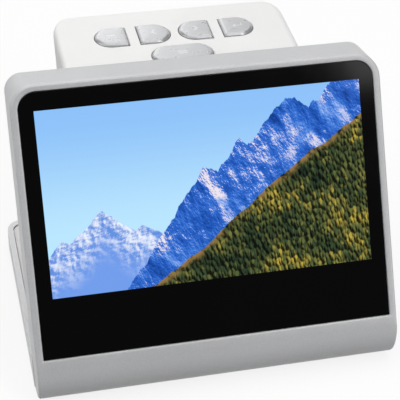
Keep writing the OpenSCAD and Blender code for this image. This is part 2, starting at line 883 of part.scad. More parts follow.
module film_tray() {
    color("dimgray") difference() {
        union() {
            translate([-tray_x, axis_y - tray_w / 2, tray_z]) cube([2 * tray_x, tray_w, tray_t]);
            translate([tray_x - eps, axis_y - tray_w / 4, tray_z])
                cube([grip_l, tray_w / 2, tray_t]);
            for (i = [1:rib_count])
                translate([tray_x + grip_l + rib_end - i * rib_pitch, axis_y, tray_z + tray_t])
                    rotate([90, 0, 0]) cylinder(h = tray_w / 2 - 4, r = rib_r, center = true);
        }
        film_window(tray_z - 1, tray_z + tray_h, 0);
        translate([-reach / 2, axis_y - film_w / 2, tray_z + tray_t - film_t])
            cube([reach / 2 + tray_x - film_stop, film_w, film_t + 1]);
    }
}

module tray_cover() {
    color("dimgray") difference() {
        translate([-cover_l / 2, axis_y - tray_w / 2, tray_z + tray_t])
            cube([cover_l, tray_w, cover_t]);
        film_window(tray_z, tray_z + tray_h + 1, window_rim);
        translate([detent_x, axis_y, tray_z + tray_h]) sphere(r = detent_r);
    }
}

// Flat steel spring with a round nose that holds the tray in place
module detent_spring() {
    nose_z = channel_z + channel_h - channel_t;
    color("silver") union() {
        translate([detent_x - spring_l / 2, axis_y - spring_w / 2, channel_z + channel_h])
            cube([spring_l, spring_w, spring_t]);
        translate([detent_x, axis_y, nose_z]) cylinder(h = channel_t + spring_t / 2, r = detent_r);
    }
}

module optical_tunnel() {
    z0 = channel_z + channel_h;
    x = tunnel_l / 2;
    y = tunnel_w / 2;
    color("black") difference() {
        block(x, axis_y - y, axis_y + y, z0, roof_under);
        block(x - tunnel_t, axis_y - y + tunnel_t, axis_y + y - tunnel_t, z0 - 1, roof_under + 1);
    }
}

// ---- Camera over the film

module lens_holder() {
    color("dimgray") difference() {
        union() {
            block(holder_x, axis_y - holder_front, axis_y + holder_rear, scan_top, scan_top + holder_t);
            translate([0, axis_y, scan_top])
                cylinder(h = holder_t + holder_tube, r = barrel_r + thread_gap + holder_wall);
            for (s = [-1, 1]) translate([s * sensor_post_x, axis_y - s * sensor_post_y, scan_top])
                cylinder(h = sensor_z - scan_top, r = boss_r);
        }
        translate([0, axis_y, scan_top - 1])
            cylinder(h = holder_t + holder_tube + 2, r = barrel_r + thread_gap);
        for (s = [-1, 1])
            translate([s * sensor_post_x, axis_y - s * sensor_post_y, sensor_z - sensor_thread])
                cylinder(h = sensor_thread + 1, r = thread_r);
        for (p = holder_spots) translate([p[0], p[1], scan_top - 1])
            cylinder(h = holder_t + 2, r = hole_r);
    }
}

module holder_screws() {
    color("dimgray") for (p = holder_spots) translate([p[0], p[1], scan_top + holder_t])
        screw(holder_screw_l);
}

module lens_barrel() {
    color("black") difference() {
        translate([0, axis_y, barrel_z]) cylinder(h = barrel_l, r = barrel_r);
        translate([0, axis_y, barrel_z - 1]) cylinder(h = barrel_l + 2, r = barrel_bore);
    }
}

// A lens with two bulging faces, its middle at height z
module lens(z) {
    ball = (lens_r * lens_r + lens_bulge * lens_bulge) / (2 * lens_bulge);
    shift = ball - lens_t / 2;
    color("lightblue") translate([0, axis_y, z]) intersection() {
        cylinder(h = lens_t, r = lens_r, center = true);
        translate([0, 0, shift]) sphere(r = ball, $fn = 256);
        translate([0, 0, -shift]) sphere(r = ball, $fn = 256);
    }
}

module lower_lens() {
    lens(barrel_z + lens_t / 2 + lens_seat);
}

module upper_lens() {
    lens(barrel_z + barrel_l - lens_t / 2 - lens_seat);
}

module sensor_board() {
    color("darkgreen") difference() {
        block(sensor_x, axis_y - sensor_y, axis_y + sensor_y, sensor_z, sensor_z + board_t);
        for (s = [-1, 1]) translate([s * sensor_post_x, axis_y - s * sensor_post_y, sensor_z - 1])
            cylinder(h = board_t + 2, r = hole_r);
    }
}

module image_sensor() {
    color("darkslategray") block(
        sensor_chip[0] / 2, axis_y - sensor_chip[1] / 2, axis_y + sensor_chip[1] / 2,
        sensor_z - sensor_chip[2], sensor_z
    );
}

module sensor_screws() {
    color("dimgray") for (s = [-1, 1])
        translate([s * sensor_post_x, axis_y - s * sensor_post_y, sensor_z + board_t])
            screw(sensor_screw_l);
}

module sensor_flex() {
    color("darkorange") ribbon(sensor_flex_path, 0, sensor_flex_w);
}

// ---- Main board and its sockets

module main_board() {
    color("darkgreen") difference() {
        panel_sheet(main_w, main_w + board_t) translate([-main_x, main_v0])
            square([2 * main_x, main_v1 - main_v0]);
        for (p = main_spots) panel_rod(p, main_w - 1, main_w + board_t + 1, hole_r);
    }
}

module main_chips() {
    color("darkslategray") for (c = chips) panel_frame()
        translate([c[0] - c[2] / 2, c[1] - c[3] / 2, -main_w]) cube([c[2], c[3], c[4]]);
}

// A stadium outline of full width w and height h
module stadium(w, h) {
    union() {
        square([w - h, h], center = true);
        for (s = [-1, 1]) translate([s * (w - h) / 2, 0]) circle(h / 2);
    }
}

// Draws an outline of panel height and depth out along X, its mouth at the body's side
module side_socket(s, v, size, length) {
    panel_frame() translate([s * socket_x, v, -main_w + size[1] / 2])
        rotate([0, -s * 90, 0]) rotate([0, 0, 90]) linear_extrude(length) children();
}

module data_power_socket() {
    w = data_socket_w;
    h = data_socket_h;
    color("silver") union() {
        difference() {
            side_socket(1, data_v, data_size, socket_l) stadium(w, h);
            translate([1, 0, 0]) side_socket(1, data_v, data_size, socket_l - socket_back)
                stadium(w - 2 * socket_wall, h - 2 * socket_wall);
        }
        translate([-1, 0, 0]) side_socket(1, data_v, data_size, socket_l - tongue_in)
            square([w - 2.4, 0.7], center = true);
    }
}

module video_socket() {
    w = video_socket_w;
    h = video_socket_h;
    t = socket_wall;
    color("silver") union() {
        difference() {
            side_socket(1, video_v, video_size, socket_l) video_outline(w, h);
            translate([1, 0, 0]) side_socket(1, video_v, video_size, socket_l - socket_back)
                video_outline(w - 2 * t, h - 2 * t);
        }
        translate([-1, 0, 0]) side_socket(1, video_v, video_size, socket_l - tongue_in)
            square([w - 3.4, 0.6], center = true);
    }
}

// Outline of the video socket: a rectangle with two slanted corners
module video_outline(w, h) {
    cut = 0.35 * h;
    polygon([
        [-w / 2, -h / 2], [w / 2, -h / 2], [w / 2, h / 2 - cut], [w / 2 - cut, h / 2],
        [cut - w / 2, h / 2], [-w / 2, h / 2 - cut]
    ]);
}

module memory_card_socket() {
    w = card_slot_w;
    h = card_slot_h;
    color("silver") difference() {
        side_socket(-1, card_v, card_size, card_l) square([w, h], center = true);
        translate([-1, 0, 0]) side_socket(-1, card_v, card_size, card_l)
            square([w - 2 * socket_wall, h - 2 * socket_wall], center = true);
    }
}

module main_board_screws() {
    color("dimgray") for (p = main_spots) panel_screw(p, main_w, main_screw_l, false);
}

// ---- Base

module deck_plate() {
    x = base_w / 2 - base_rim - fit;
    color("whitesmoke") difference() {
        intersection() {
            round_block(
                x, -reach / 4, base_rear - base_rim - fit, deck_under, deck_top, base_r - base_rim
            );
            across(reach) lean_band(body_front + fit, reach, 0, base_top + 1);
        }
        for (p = base_spots) translate([p[0], p[1], deck_under - 1])
            cylinder(h = deck_t + 2, r = hole_r);
    }
}

module tray_pocket(inset, z0) {
    r = max(base_r - inset, 1);
    round_block(base_w / 2 - inset, -reach / 4, base_rear - inset, z0, base_top + 1, r);
}

module base_tray() {
    color("silver") difference() {
        union() {
            difference() {
                intersection() {
                    round_block(base_w / 2, -reach / 4, base_rear, foot_proud, base_top, base_r);
                    across(reach) lean_band(body_front, reach, 0, base_top + 1);
                }
                tray_pocket(base_rim, deck_under);
                tray_pocket(base_rim + step_w, floor_top);
            }
            for (p = base_spots) translate([p[0], p[1], floor_top - eps])
                cylinder(h = deck_under - floor_top + eps, r = post_r);
            for (x = [-lug_x, lug_x]) translate([x, lug_y, floor_top - eps])
                cylinder(h = lug_z0 - floor_top + eps, r = post_r);
        }
        for (p = concat(base_spots, [[-lug_x, lug_y], [lug_x, lug_y]]))
            translate([p[0], p[1], foot_proud - 1]) {
                cylinder(h = base_top, r = hole_r);
                cylinder(h = 1 + head_h + head_room, r = head_r + fit);
            }
        for (x = [-foot_x, foot_x], y = [foot_front, foot_rear])
            translate([x, y, foot_proud - 1]) cylinder(h = 1 + foot_pocket, r = foot_r + fit / 2);
    }
}

module base_screws() {
    color("dimgray") for (p = base_spots) translate([p[0], p[1], foot_proud + head_h + head_room])
        rotate([180, 0, 0]) screw(base_screw_l);
}

module rubber_feet() {
    color("black") for (x = [-foot_x, foot_x], y = [foot_front, foot_rear])
        translate([x, y, 0]) cylinder(h = foot_proud + foot_pocket, r = foot_r);
}

front_bezel();
cover_glass();
glass_tape();
lcd_screen();
lcd_backlight();
lcd_frame();
display_back();
back_screws();
chin_screws();
display_flex();
body_shell();
shell_screws();
roof_screws();
button(0);  // button_left_end
button(1);  // button_left_inner
button(2);  // button_right_inner
button(3);  // button_right_end
button(4);  // button_oval
plunger(0);  // plunger_left_end
plunger(1);  // plunger_left_inner
plunger(2);  // plunger_right_inner
plunger(3);  // plunger_right_end
plunger(4);  // plunger_oval
tact_switches();
button_board();
button_board_screws();
scan_housing();
light_box();
led_board();
leds();
diffuser();
film_channel();
film_tray();
tray_cover();
detent_spring();
optical_tunnel();
lens_holder();
holder_screws();
lens_barrel();
lower_lens();
upper_lens();
sensor_board();
image_sensor();
sensor_screws();
sensor_flex();
main_board();
main_chips();
data_power_socket();
video_socket();
memory_card_socket();
main_board_screws();
deck_plate();
base_tray();
base_screws();
rubber_feet();
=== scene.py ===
# %% [markdown]
# # A desktop film negative scanner, dressed for its portrait
# The solids come from the construction model: every shell, board, lens and screw is already in
# its place. This lesson gives them their looks. Some pieces keep their solid and only get a
# finish; the ones that the eye rests on (the display housing, the white casing, the buttons) are
# modelled again as smooth surfaces that stand in the same place.
#
# The lengths below are written in millimetres, as on a maker's drawing, and are turned into
# metres where they meet a mesh.

# %% Load the construction model
import math

import bmesh
import bpy
import numpy as np
from mathutils import Matrix, Vector


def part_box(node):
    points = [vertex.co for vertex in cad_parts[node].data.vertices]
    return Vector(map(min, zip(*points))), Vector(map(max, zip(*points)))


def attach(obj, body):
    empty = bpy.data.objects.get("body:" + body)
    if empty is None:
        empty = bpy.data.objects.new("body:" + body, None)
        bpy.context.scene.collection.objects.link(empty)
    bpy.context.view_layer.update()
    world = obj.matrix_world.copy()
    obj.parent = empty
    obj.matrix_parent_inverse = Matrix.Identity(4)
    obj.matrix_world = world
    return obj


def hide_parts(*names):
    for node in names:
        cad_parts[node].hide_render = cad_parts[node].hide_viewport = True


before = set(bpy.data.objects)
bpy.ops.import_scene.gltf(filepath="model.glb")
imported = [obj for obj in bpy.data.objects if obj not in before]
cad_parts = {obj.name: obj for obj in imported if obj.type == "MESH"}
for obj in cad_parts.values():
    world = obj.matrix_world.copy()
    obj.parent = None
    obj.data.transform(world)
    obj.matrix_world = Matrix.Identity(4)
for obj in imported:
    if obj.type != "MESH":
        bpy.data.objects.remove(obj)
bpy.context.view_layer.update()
MM = 0.001

# %% [markdown]
# ## The camera
# A product photographer stands in front of the scanner, a little to its left, and looks down on
# it with a short telephoto lens. The camera's turn is given as three angles: how far it has
# walked round the object, how far it looks down, and how far it is rolled.

# %% Camera
CAMERA_PLACE = (-94.2, -375.4, 354.8)
CAMERA_ROUND, CAMERA_DOWN, CAMERA_ROLL = (math.radians(a) for a in (-14.498, 38.955, 2.68))
CAMERA_LENS, SENSOR_WIDTH = 125.8, 36
SEES_FROM, SEES_TO = 10, 20000


def add_camera():
    """Turns the camera about its view line, then tips it up from straight down, then walks it round."""
    data = bpy.data.cameras.new("camera")
    data.lens, data.sensor_width = CAMERA_LENS, SENSOR_WIDTH
    data.clip_start, data.clip_end = SEES_FROM * MM, SEES_TO * MM
    camera = bpy.data.objects.new("camera", data)
    turn = Matrix.Rotation(CAMERA_ROUND, 4, "Z")
    turn = turn @ Matrix.Rotation(math.pi / 2 - CAMERA_DOWN, 4, "X")
    turn = turn @ Matrix.Rotation(CAMERA_ROLL, 4, "Z")
    camera.matrix_world = Matrix.Translation(Vector(CAMERA_PLACE) * MM) @ turn
    bpy.context.scene.collection.objects.link(camera)
    bpy.context.scene.camera = camera


add_camera()
print("camera lens", CAMERA_LENS, "mm")

# %% [markdown]
# ## Panel coordinates
# The whole front leans back, so its details are measured along the glass: x to the right, v up
# the slope and w into the depth, with w = 0 on the silver rim. The glass is a slab that leans
# with it. The depth and the height of its box are two sums of the slab's length and thickness,
# so two equations give both back.

# %% Panel coordinates from the cover glass
LEAN, RIM_PROUD = 32, 0.4
LEAN_SIN, LEAN_COS = math.sin(math.radians(LEAN)), math.cos(math.radians(LEAN))

glass_low, glass_high = (np.array(corner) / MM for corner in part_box("cover_glass"))
spread = glass_high[1:] - glass_low[1:]
GLASS_H, GLASS_T = np.linalg.solve([[LEAN_SIN, LEAN_COS], [LEAN_COS, LEAN_SIN]], spread)
GLASS_HALF = glass_high[0]
PANEL_Y = glass_low[1] - RIM_PROUD * LEAN_COS
PANEL_Z = glass_low[2] + (RIM_PROUD + GLASS_T) * LEAN_SIN


def panel_points(x, v, w):
    """Metres in the shared frame: v climbs the slope and w goes into it, at right angles."""
    y = PANEL_Y + v * LEAN_SIN + w * LEAN_COS
    z = PANEL_Z + v * LEAN_COS - w * LEAN_SIN
    return np.stack(np.broadcast_arrays(x, y, z), -1) * MM


print(f"glass {2 * GLASS_HALF:.1f} x {GLASS_H:.1f} x {GLASS_T:.2f} mm")
print(f"panel's foot at y {PANEL_Y:.2f}, z {PANEL_Z:.2f} mm")

# %% [markdown]
# ## From arrays to a mesh
# A moulded shell is a stack of rings, and a ring is a rounded outline. Both are arrays, so one
# helper joins any grid of points with quads, and can close it with a fan at either end.

# %% Grid helpers
def grid_quads(rows, cols, wrap_rows):
    """Each quad joins a point, its neighbour on the ring and the two under them on the next ring.
    Every ring closes on itself, and with wrap_rows the last ring joins the first."""
    r, c = np.meshgrid(np.arange(rows if wrap_rows else rows - 1), np.arange(cols), indexing="ij")
    below, beside = (r + 1) % rows, (c + 1) % cols
    corners = [r * cols + c, r * cols + beside, below * cols + beside, below * cols + c]
    return np.stack(corners, -1).reshape(-1, 4)


def fan(ring, pole):
    """Triangles from every edge of a ring of point numbers to one pole."""
    return np.stack([ring, np.roll(ring, -1), np.full(len(ring), pole)], -1)


print("grid helpers ready")

# %% [markdown]
# A new piece is settled before it is used: doubled points are joined, its faces are turned
# outwards, and it is shaded smooth except over its sharp edges. It then gets its finish, rides
# on the body that it moves with, and stands for the solid that it replaces.

# %% Making a piece
SHARP, DOUBLE = math.radians(28), 0.0005 * MM


def add_piece(name, points, faces, body, slot, coat, *nodes):
    """Makes a settled mesh piece from an array of points and a list of arrays of faces."""
    mesh = bpy.data.meshes.new(name)
    mesh.from_pydata(points.reshape(-1, 3).tolist(), [], [f for part in faces for f in part.tolist()])
    piece = bpy.data.objects.new(name, mesh)
    bpy.context.scene.collection.objects.link(piece)
    settle(mesh)
    place_piece(piece, body, slot, coat, *nodes)


def settle(mesh):
    """Joins doubled points, turns every face outwards and smooths the mesh between its sharp edges."""
    work = bmesh.new()
    work.from_mesh(mesh)
    bmesh.ops.remove_doubles(work, verts=work.verts, dist=DOUBLE)
    bmesh.ops.recalc_face_normals(work, faces=work.faces)
    work.to_mesh(mesh)
    work.free()
    mesh.shade_smooth()
    mesh.set_sharp_from_angle(angle=SHARP)


def place_piece(piece, body, slot, coat, *nodes):
    """Gives a piece its finish and even shading, and says what it rides on and stands for."""
    piece.data.materials.append(coat)
    even = piece.modifiers.new("even", "WEIGHTED_NORMAL")
    even.keep_sharp = True
    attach(piece, body)
    if nodes:
        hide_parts(*nodes)
    print(piece.name, "faces:", len(piece.data.polygons))


print("faces that meet at more than", round(math.degrees(SHARP)), "degrees keep a sharp edge")

# %% [markdown]
# The rings of the housing are rectangles with round corners. All rings of a stack are worked out at
# once, each with its own width, edges and radii, so that a whole side is one sum on arrays.

# %% A rounded outline
ARC = 12


def rounded_ring(half, low, high, top, foot):
    """Four quarter circles joined by straight runs, anticlockwise from the lower right corner.
    Every argument is a number, or a number per ring; top and foot are the radii of the corners."""
    half, low, high, top, foot = np.broadcast_arrays(half, low, high, top, foot)
    turn = np.linspace(0, math.pi / 2, ARC + 1)
    parts = []
    for side, edge, inwards, radius, start in (
        (1, low, 1, foot, -math.pi / 2), (1, high, -1, top, 0),
        (-1, high, -1, top, math.pi / 2), (-1, low, 1, foot, math.pi),
    ):
        x = side * (half - radius)[..., None] + radius[..., None] * np.cos(turn + start)
        v = (edge + inwards * radius)[..., None] + radius[..., None] * np.sin(turn + start)
        parts.append(np.stack([x, v], -1))
    return np.concatenate(parts, -2)


print("points on a ring:", 4 * (ARC + 1))

# %% [markdown]
# ## Shader sums in plain Python
# A finish is a small calculation on the place of each point. To write it as a calculation, one
# class wraps a socket, and its operators add the Math nodes.

# %% The wire class
class Wire:
    """An output socket in a material's node tree. Sums on it add Math nodes."""

    def __init__(self, tree, socket=None):
        self.tree, self.socket = tree, socket

    def node(self, kind, settings, inputs, output=0):
        """Adds any node: its settings first, then values or wires for its inputs, by name or number."""
        made = self.tree.nodes.new(kind)
        for name, value in settings.items():
            if name == "stops":
                fill_ramp(made.color_ramp, value)
            else:
                setattr(made, name, value)
        for name, value in inputs.items():
            if isinstance(value, Wire):
                self.tree.links.new(value.socket, made.inputs[name])
            else:
                made.inputs[name].default_value = value
        return Wire(self.tree, made.outputs[output])

    def math(self, operation, *values):
        """One Math node on up to three values or wires."""
        return self.node("ShaderNodeMath", {"operation": operation}, dict(enumerate(values)))

    def __add__(self, other):
        return self.math("ADD", self, other)

    def __radd__(self, other):
        return self.math("ADD", other, self)

    def __sub__(self, other):
        return self.math("SUBTRACT", self, other)

    def __rsub__(self, other):
        return self.math("SUBTRACT", other, self)

    def __mul__(self, other):
        return self.math("MULTIPLY", self, other)

    def __rmul__(self, other):
        return self.math("MULTIPLY", other, self)

    def __truediv__(self, other):
        return self.math("DIVIDE", self, other)

    def __abs__(self):
        return self.math("ABSOLUTE", self)

    def most(self, other):
        """The larger of the two."""
        return self.math("MAXIMUM", self, other)

    def fraction(self):
        """What is left of the value past its whole number."""
        return self.math("FRACT", self)

    def ramp(self, low, high, out_low=0.0, out_high=1.0):
        """Rises smoothly from out_low to out_high while the value goes from low to high."""
        settings = {"interpolation_type": "SMOOTHSTEP"}
        values = dict(enumerate((self, low, high, out_low, out_high)))
        return self.node("ShaderNodeMapRange", settings, values)

    def colours(self, stops):
        """A ramp of colours along this value."""
        return self.node("ShaderNodeValToRGB", {"stops": stops}, {0: self})

    def mix(self, colour_off, colour_on):
        """This wire is the factor between two colours, each a wire or an RGB triple. In the Mix node,
        sockets 6 and 7 are its colours, and output 2 is the mixed colour."""
        off, on = (c if isinstance(c, Wire) else (*c, 1) for c in (colour_off, colour_on))
        return self.node("ShaderNodeMix", {"data_type": "RGBA"}, {0: self, 6: off, 7: on}, 2)


def fill_ramp(ramp, stops):
    """Stops are (place, RGB triple) pairs in rising order."""
    while len(ramp.elements) < len(stops):
        ramp.elements.new(1)
    for element, (place, colour) in zip(ramp.elements, stops):
        element.position, element.color = place, (*colour, 1)


print("sums on wires ready")

# %% [markdown]
# Most patterns start from the point that is being shaded, so a second class holds its place in
# millimetres and the few patterns that this object needs: clouds, cells and a bump.

# %% The spot class and a whole finish
class Spot(Wire):
    """The point that is being shaded, as x, y and z in millimetres, and patterns around it."""

    def __init__(self, tree):
        super().__init__(tree)
        metres = self.node("ShaderNodeTexCoord", {}, {}, "Object")
        scaled = {"operation": "SCALE"}
        self.place = self.node("ShaderNodeVectorMath", scaled, {0: metres, "Scale": 1 / MM})
        self.x, self.y, self.z = (
            self.node("ShaderNodeSeparateXYZ", {}, {0: self.place}, i) for i in range(3)
        )

    def at(self, x, y, z=0.0):
        """A place of one's own. On a flat picture, z picks a slice of a pattern, as a seed does."""
        return self.node("ShaderNodeCombineXYZ", {}, {0: x, 1: y, 2: z})

    def noise(self, size, detail=2.0, rough=0.5, place=None):
        """Cloudy values about 0.5, with blobs of roughly this size in the unit of the place."""
        inputs = {"Vector": place or self.place, "Scale": 1 / size, "Detail": detail, "Roughness": rough}
        return self.node("ShaderNodeTexNoise", {}, inputs)

    def cells(self, size, place=None, feature="F1", output="Distance"):
        """Cells of roughly this size: the distance from the middle of each, or its random colour."""
        inputs = {"Vector": place or self.place, "Scale": 1 / size}
        return self.node("ShaderNodeTexVoronoi", {"feature": feature}, inputs, output)

    def bump(self, height, depth):
        """Bends the surface's normal as if it rose by depth millimetres where height goes up by 1."""
        return self.node("ShaderNodeBump", {}, {"Height": height, "Strength": 1.0, "Distance": depth * MM})


def finish(name, vary, **constants):
    """A material whose constants sit on its shader, and whose other sockets follow vary(spot)."""
    material = bpy.data.materials.new(name)
    material.use_nodes = True
    shader = material.node_tree.nodes["Principled BSDF"]
    for socket, value in constants.items():
        shader.inputs[socket.replace("_", " ")].default_value = value
    for socket, wire in vary(Spot(material.node_tree)).items():
        material.node_tree.links.new(wire.socket, shader.inputs[socket])
    return material


print("shader helpers ready")

# %% [markdown]
# ## Silver lacquer
# The housing and the tray are plastic with a silver lacquer: a grey that is mostly matt, with
# fine metal flake in it and a faint skin like an orange's. Each flake is a small cell of random
# brightness, a painted glint that stands for the flake catching the light; the skin is a low bump.
# The tray's lacquer is a lighter copy of the same grey: painted light that brightens the tray in the shade
# of the leaning housing.

# %% Silver finishes
FLAKE, SKIN, SKIN_DEPTH = 0.22, 1.1, 0.004
# The tray's grey is the shell's grey made lighter: painted light that brightens the tray in the shade of
# the leaning housing.
SHELL_GREY, LIT_TRAY_GREY = (0.575, 0.58, 0.59), (0.76, 0.765, 0.775)
SILVER_METAL, CLOUD, SWING = 0.12, 0.012, 0.2


def paint_with_flake_glints(spot, grey, glint, cloud_size, detail):
    """The grey times a level near 1, which changes by glint from flake to flake, as painted glints, and by
    CLOUD from cloud to cloud. The mix runs from the grey less SWING of itself to the grey and SWING more."""
    # Each flake's random brightness is a painted glint: colour that stands for the flake catching the
    # light.
    flake_glints = spot.cells(FLAKE, output="Color").ramp(0.1, 0.9, -1, 1)
    clouds = spot.noise(cloud_size, detail).ramp(0.3, 0.7, -1, 1)
    level = 1 + flake_glints * glint + clouds * CLOUD
    dark, bright = ([c * k for c in grey] for k in (1 - SWING, 1 + SWING))
    return level.ramp(1 - SWING, 1 + SWING).mix(dark, bright), flake_glints


def silver(name, grey, gloss):
    """Paint whose colour carries painted glints, one per flake, and whose roughness drifts from gloss
    upwards.
    """
    def vary(spot):
        paint, flake_glints = paint_with_flake_glints(spot, grey, 0.035, 26, 3)
        return {
            "Base Color": paint,
            "Roughness": gloss + spot.noise(3.2, 3).ramp(0.3, 0.7) * 0.05 + flake_glints * 0.02,
            "Normal": spot.bump(spot.noise(SKIN, 1), SKIN_DEPTH),
        }
    return finish(name, vary, Metallic=SILVER_METAL)


shell_silver = silver("silver lacquer", SHELL_GREY, 0.34)
# The tray's lacquer takes the lighter grey, painted light on the tray.
lit_tray_silver = silver("tray lacquer painted lighter", LIT_TRAY_GREY, 0.36)
print("flakes of", FLAKE, "mm")

# %% [markdown]
# ## White moulding
# The rear casing, the deck and the scan housing are dyed plastic straight from the mould. Its
# skin is finely eroded, so it is softly matt, a touch paler in places, and its bump is a fine
# grain.

# %% White plastic
WHITE, PALER_WHITE = (0.865, 0.862, 0.855), (0.885, 0.882, 0.875)
GRAIN, GRAIN_DEPTH = 0.35, 0.012


def white_moulding(spot):
    """Two near whites that drift into each other, under a fine even grain."""
    grain = spot.noise(GRAIN, 2)
    drift = spot.noise(30, 2).ramp(0.35, 0.65)
    return {
        "Base Color": drift.mix(WHITE, PALER_WHITE),
        "Roughness": 0.42 + grain * 0.08,
        "Normal": spot.bump(grain, GRAIN_DEPTH),
    }


shell_white = finish("white moulding", white_moulding, Specular_IOR_Level=0.45)
print("white moulding ready")

# %% [markdown]
# ## The display housing
# This is the silver shell round the glass. Its face is a narrow flat rim with a small chamfer
# towards the glass; its sides turn away over a tight round; its top rises a little towards the
# back; and at the foot the face bends round into a chin that carries on under the object. It is
# drawn as a stack of rings, each at its own depth w behind the rim. The stack begins on the
# ledge behind the glass, comes forward up the recess, crosses the rim, goes back along the
# outside and returns along the inside, so that its last ring meets its first and the shell is
# closed.

# %% Housing sizes and its outside
RIM_SIDE, RIM_TOP = 2.6, 2.3
HOUSING_HALF, HOUSING_TOP, HOUSING_DEPTH = GLASS_HALF + RIM_SIDE, GLASS_H + RIM_TOP, 16.5
CORNER_FRONT, CORNER_FALL = 8.5, 2.5
EDGE_R, TOP_FLARE = 0.8, math.tan(math.radians(13))
CHIN_R, CHIN_START, CHIN_END, TABLE_GAP = 10.0, -1.0, 1.0, 0.8
CHIN_MIDDLE = (TABLE_GAP + CHIN_R - PANEL_Z + CHIN_R * LEAN_SIN) / LEAN_COS
ROUND_STEPS = 42


def chin_foot(w, inset=0.0):
    """Lower edge at depth w: a quarter ellipse that starts at the lip, then a circle, and past its
    lowest point the level underside. Both curves turn about the same depth, where they meet without
    a corner."""
    radius = CHIN_R - inset
    middle = np.where(w < CHIN_R, CHIN_START, CHIN_MIDDLE)
    drop = radius + middle - CHIN_MIDDLE
    bend = middle - drop * np.sqrt(np.clip(1 - ((CHIN_R - w) / radius) ** 2, 0, None))
    level = (TABLE_GAP + inset - PANEL_Z + w * LEAN_SIN) / LEAN_COS
    return np.where(w < CHIN_R * (1 + LEAN_SIN) - inset * LEAN_SIN, bend, level)


def top_corner(w):
    """Radius of the upper corners, which falls evenly towards the back."""
    return CORNER_FRONT - CORNER_FALL * w / HOUSING_DEPTH


def outer_rings(w):
    """The outside at depth w; the round of the front edge is a quarter circle's inset."""
    inset = EDGE_R - np.sqrt(np.clip(EDGE_R ** 2 - np.clip(EDGE_R - w, 0, None) ** 2, 0, None))
    low, high = chin_foot(w), HOUSING_TOP + w * TOP_FLARE - inset
    corner = top_corner(w) - inset
    return rounded_ring(HOUSING_HALF - inset, low, high, corner, CHIN_END)


around = np.radians(np.linspace(0, 90 + LEAN, ROUND_STEPS))
outer_depths = np.append(CHIN_R * (1 - np.cos(around)), HOUSING_DEPTH)
print("outside rings:", len(outer_depths), "down to v", round(float(chin_foot(outer_depths).min()), 2))

# %% [markdown]
# Inside, the shell keeps one wall's distance from its outside. In front it has a ledge: the glass
# lies in a recess with a small gap round it, and behind the glass is the opening for the screen's
# metal frame. The chamfer is drawn in two steps that follow a quarter circle.

# %% Housing inside and the whole stack
GLASS_CORNER, GLASS_FOOT, GLASS_GAP = 6.0, 0.25, 0.1
OPENING_HALF, OPENING_LOW, OPENING_HIGH, OPENING_CORNER = 57.15, 14.8, 84.4, 0.4
LEDGE_FRONT, LEDGE_BACK = 2.1, 3.6
CHAMFER, CHAMFER_SHARE = 0.45, 0.3
HOUSING_WALL, INNER_FOOT, INNER_STEPS = 2.0, 1.5, 14


def recess_ring(grow):
    """The glass's outline, grown by a distance; its lower corners are nearly square."""
    half, low, high = GLASS_HALF + grow, -grow, GLASS_H + grow
    return rounded_ring([half], low, high, GLASS_CORNER + grow, GLASS_FOOT)


def inner_rings(w):
    """The inside at depth w: one wall in from the outside, with a tighter chin."""
    low, high = chin_foot(w, HOUSING_WALL), HOUSING_TOP + w * TOP_FLARE - HOUSING_WALL
    corner = top_corner(w) - HOUSING_WALL
    return rounded_ring(HOUSING_HALF - HOUSING_WALL, low, high, corner, INNER_FOOT)


opening = rounded_ring([OPENING_HALF], OPENING_LOW, OPENING_HIGH, OPENING_CORNER, OPENING_CORNER)
recess, step = recess_ring(GLASS_GAP), CHAMFER_SHARE * CHAMFER
inner_depths = np.linspace(HOUSING_DEPTH, LEDGE_BACK, INNER_STEPS)
stack = [
    (opening, [LEDGE_BACK]), (opening, [LEDGE_FRONT]), (recess, [LEDGE_FRONT]), (recess, [CHAMFER]),
    (recess_ring(GLASS_GAP + step), [step]), (recess_ring(GLASS_GAP + CHAMFER), [0.0]),
    (outer_rings(outer_depths), outer_depths), (inner_rings(inner_depths), inner_depths),
]
outline = np.concatenate([ring for ring, _ in stack])
depth = np.concatenate([w for _, w in stack])
housing_points = panel_points(outline[..., 0], outline[..., 1], depth[:, None])
housing_quads = grid_quads(*outline.shape[:2], True)
add_piece("display_housing", housing_points, [housing_quads],
          "casing", "silver_shell", shell_silver, "front_bezel")

# %% [markdown]
# ## The cover glass and its picture
# The glass is one polished sheet, black from behind except where the screen shines through. The
# scanner shows a sample picture: a clear sky over a range of blue mountains with snow on them,
# and a wooded slope in front. It is drawn by sums in the material, so it needs no image file.
# The picture's own coordinates run from 0 to 1 across, and up by the same measure.

# %% Picture coordinates and ridge lines
SCREEN_HALF, SCREEN_LOW, SCREEN_HIGH = 55.35, 20.3, 82.6
SCREEN_W = 2 * SCREEN_HALF


def picture_place(spot):
    """Across and up the screen, both counted in screen widths from its lower left corner."""
    across = (spot.x + SCREEN_HALF) / SCREEN_W
    climb = (spot.y - PANEL_Y) * LEAN_SIN + (spot.z - PANEL_Z) * LEAN_COS
    return across, (climb - SCREEN_LOW) / SCREEN_W


def ridge(spot, across, seed, size, height):
    """A mountain's skyline: the heights of a cloudy pattern along one line through it."""
    return (spot.noise(size, 8, 0.6, spot.at(across, seed)) - 0.5) * height


print("picture", SCREEN_W, "mm wide")

# %% [markdown]
# Every layer of the picture has a skyline, and what lies under it covers what is behind. A
# skyline is the highest of a few tent-shaped peaks, roughened by a cloudy line. Its rock gets
# its light and shade the way a relief map does. A cloudy pattern is read as a depth: where it is
# deeper a little way towards the light than here, the ground faces the light and is bright.

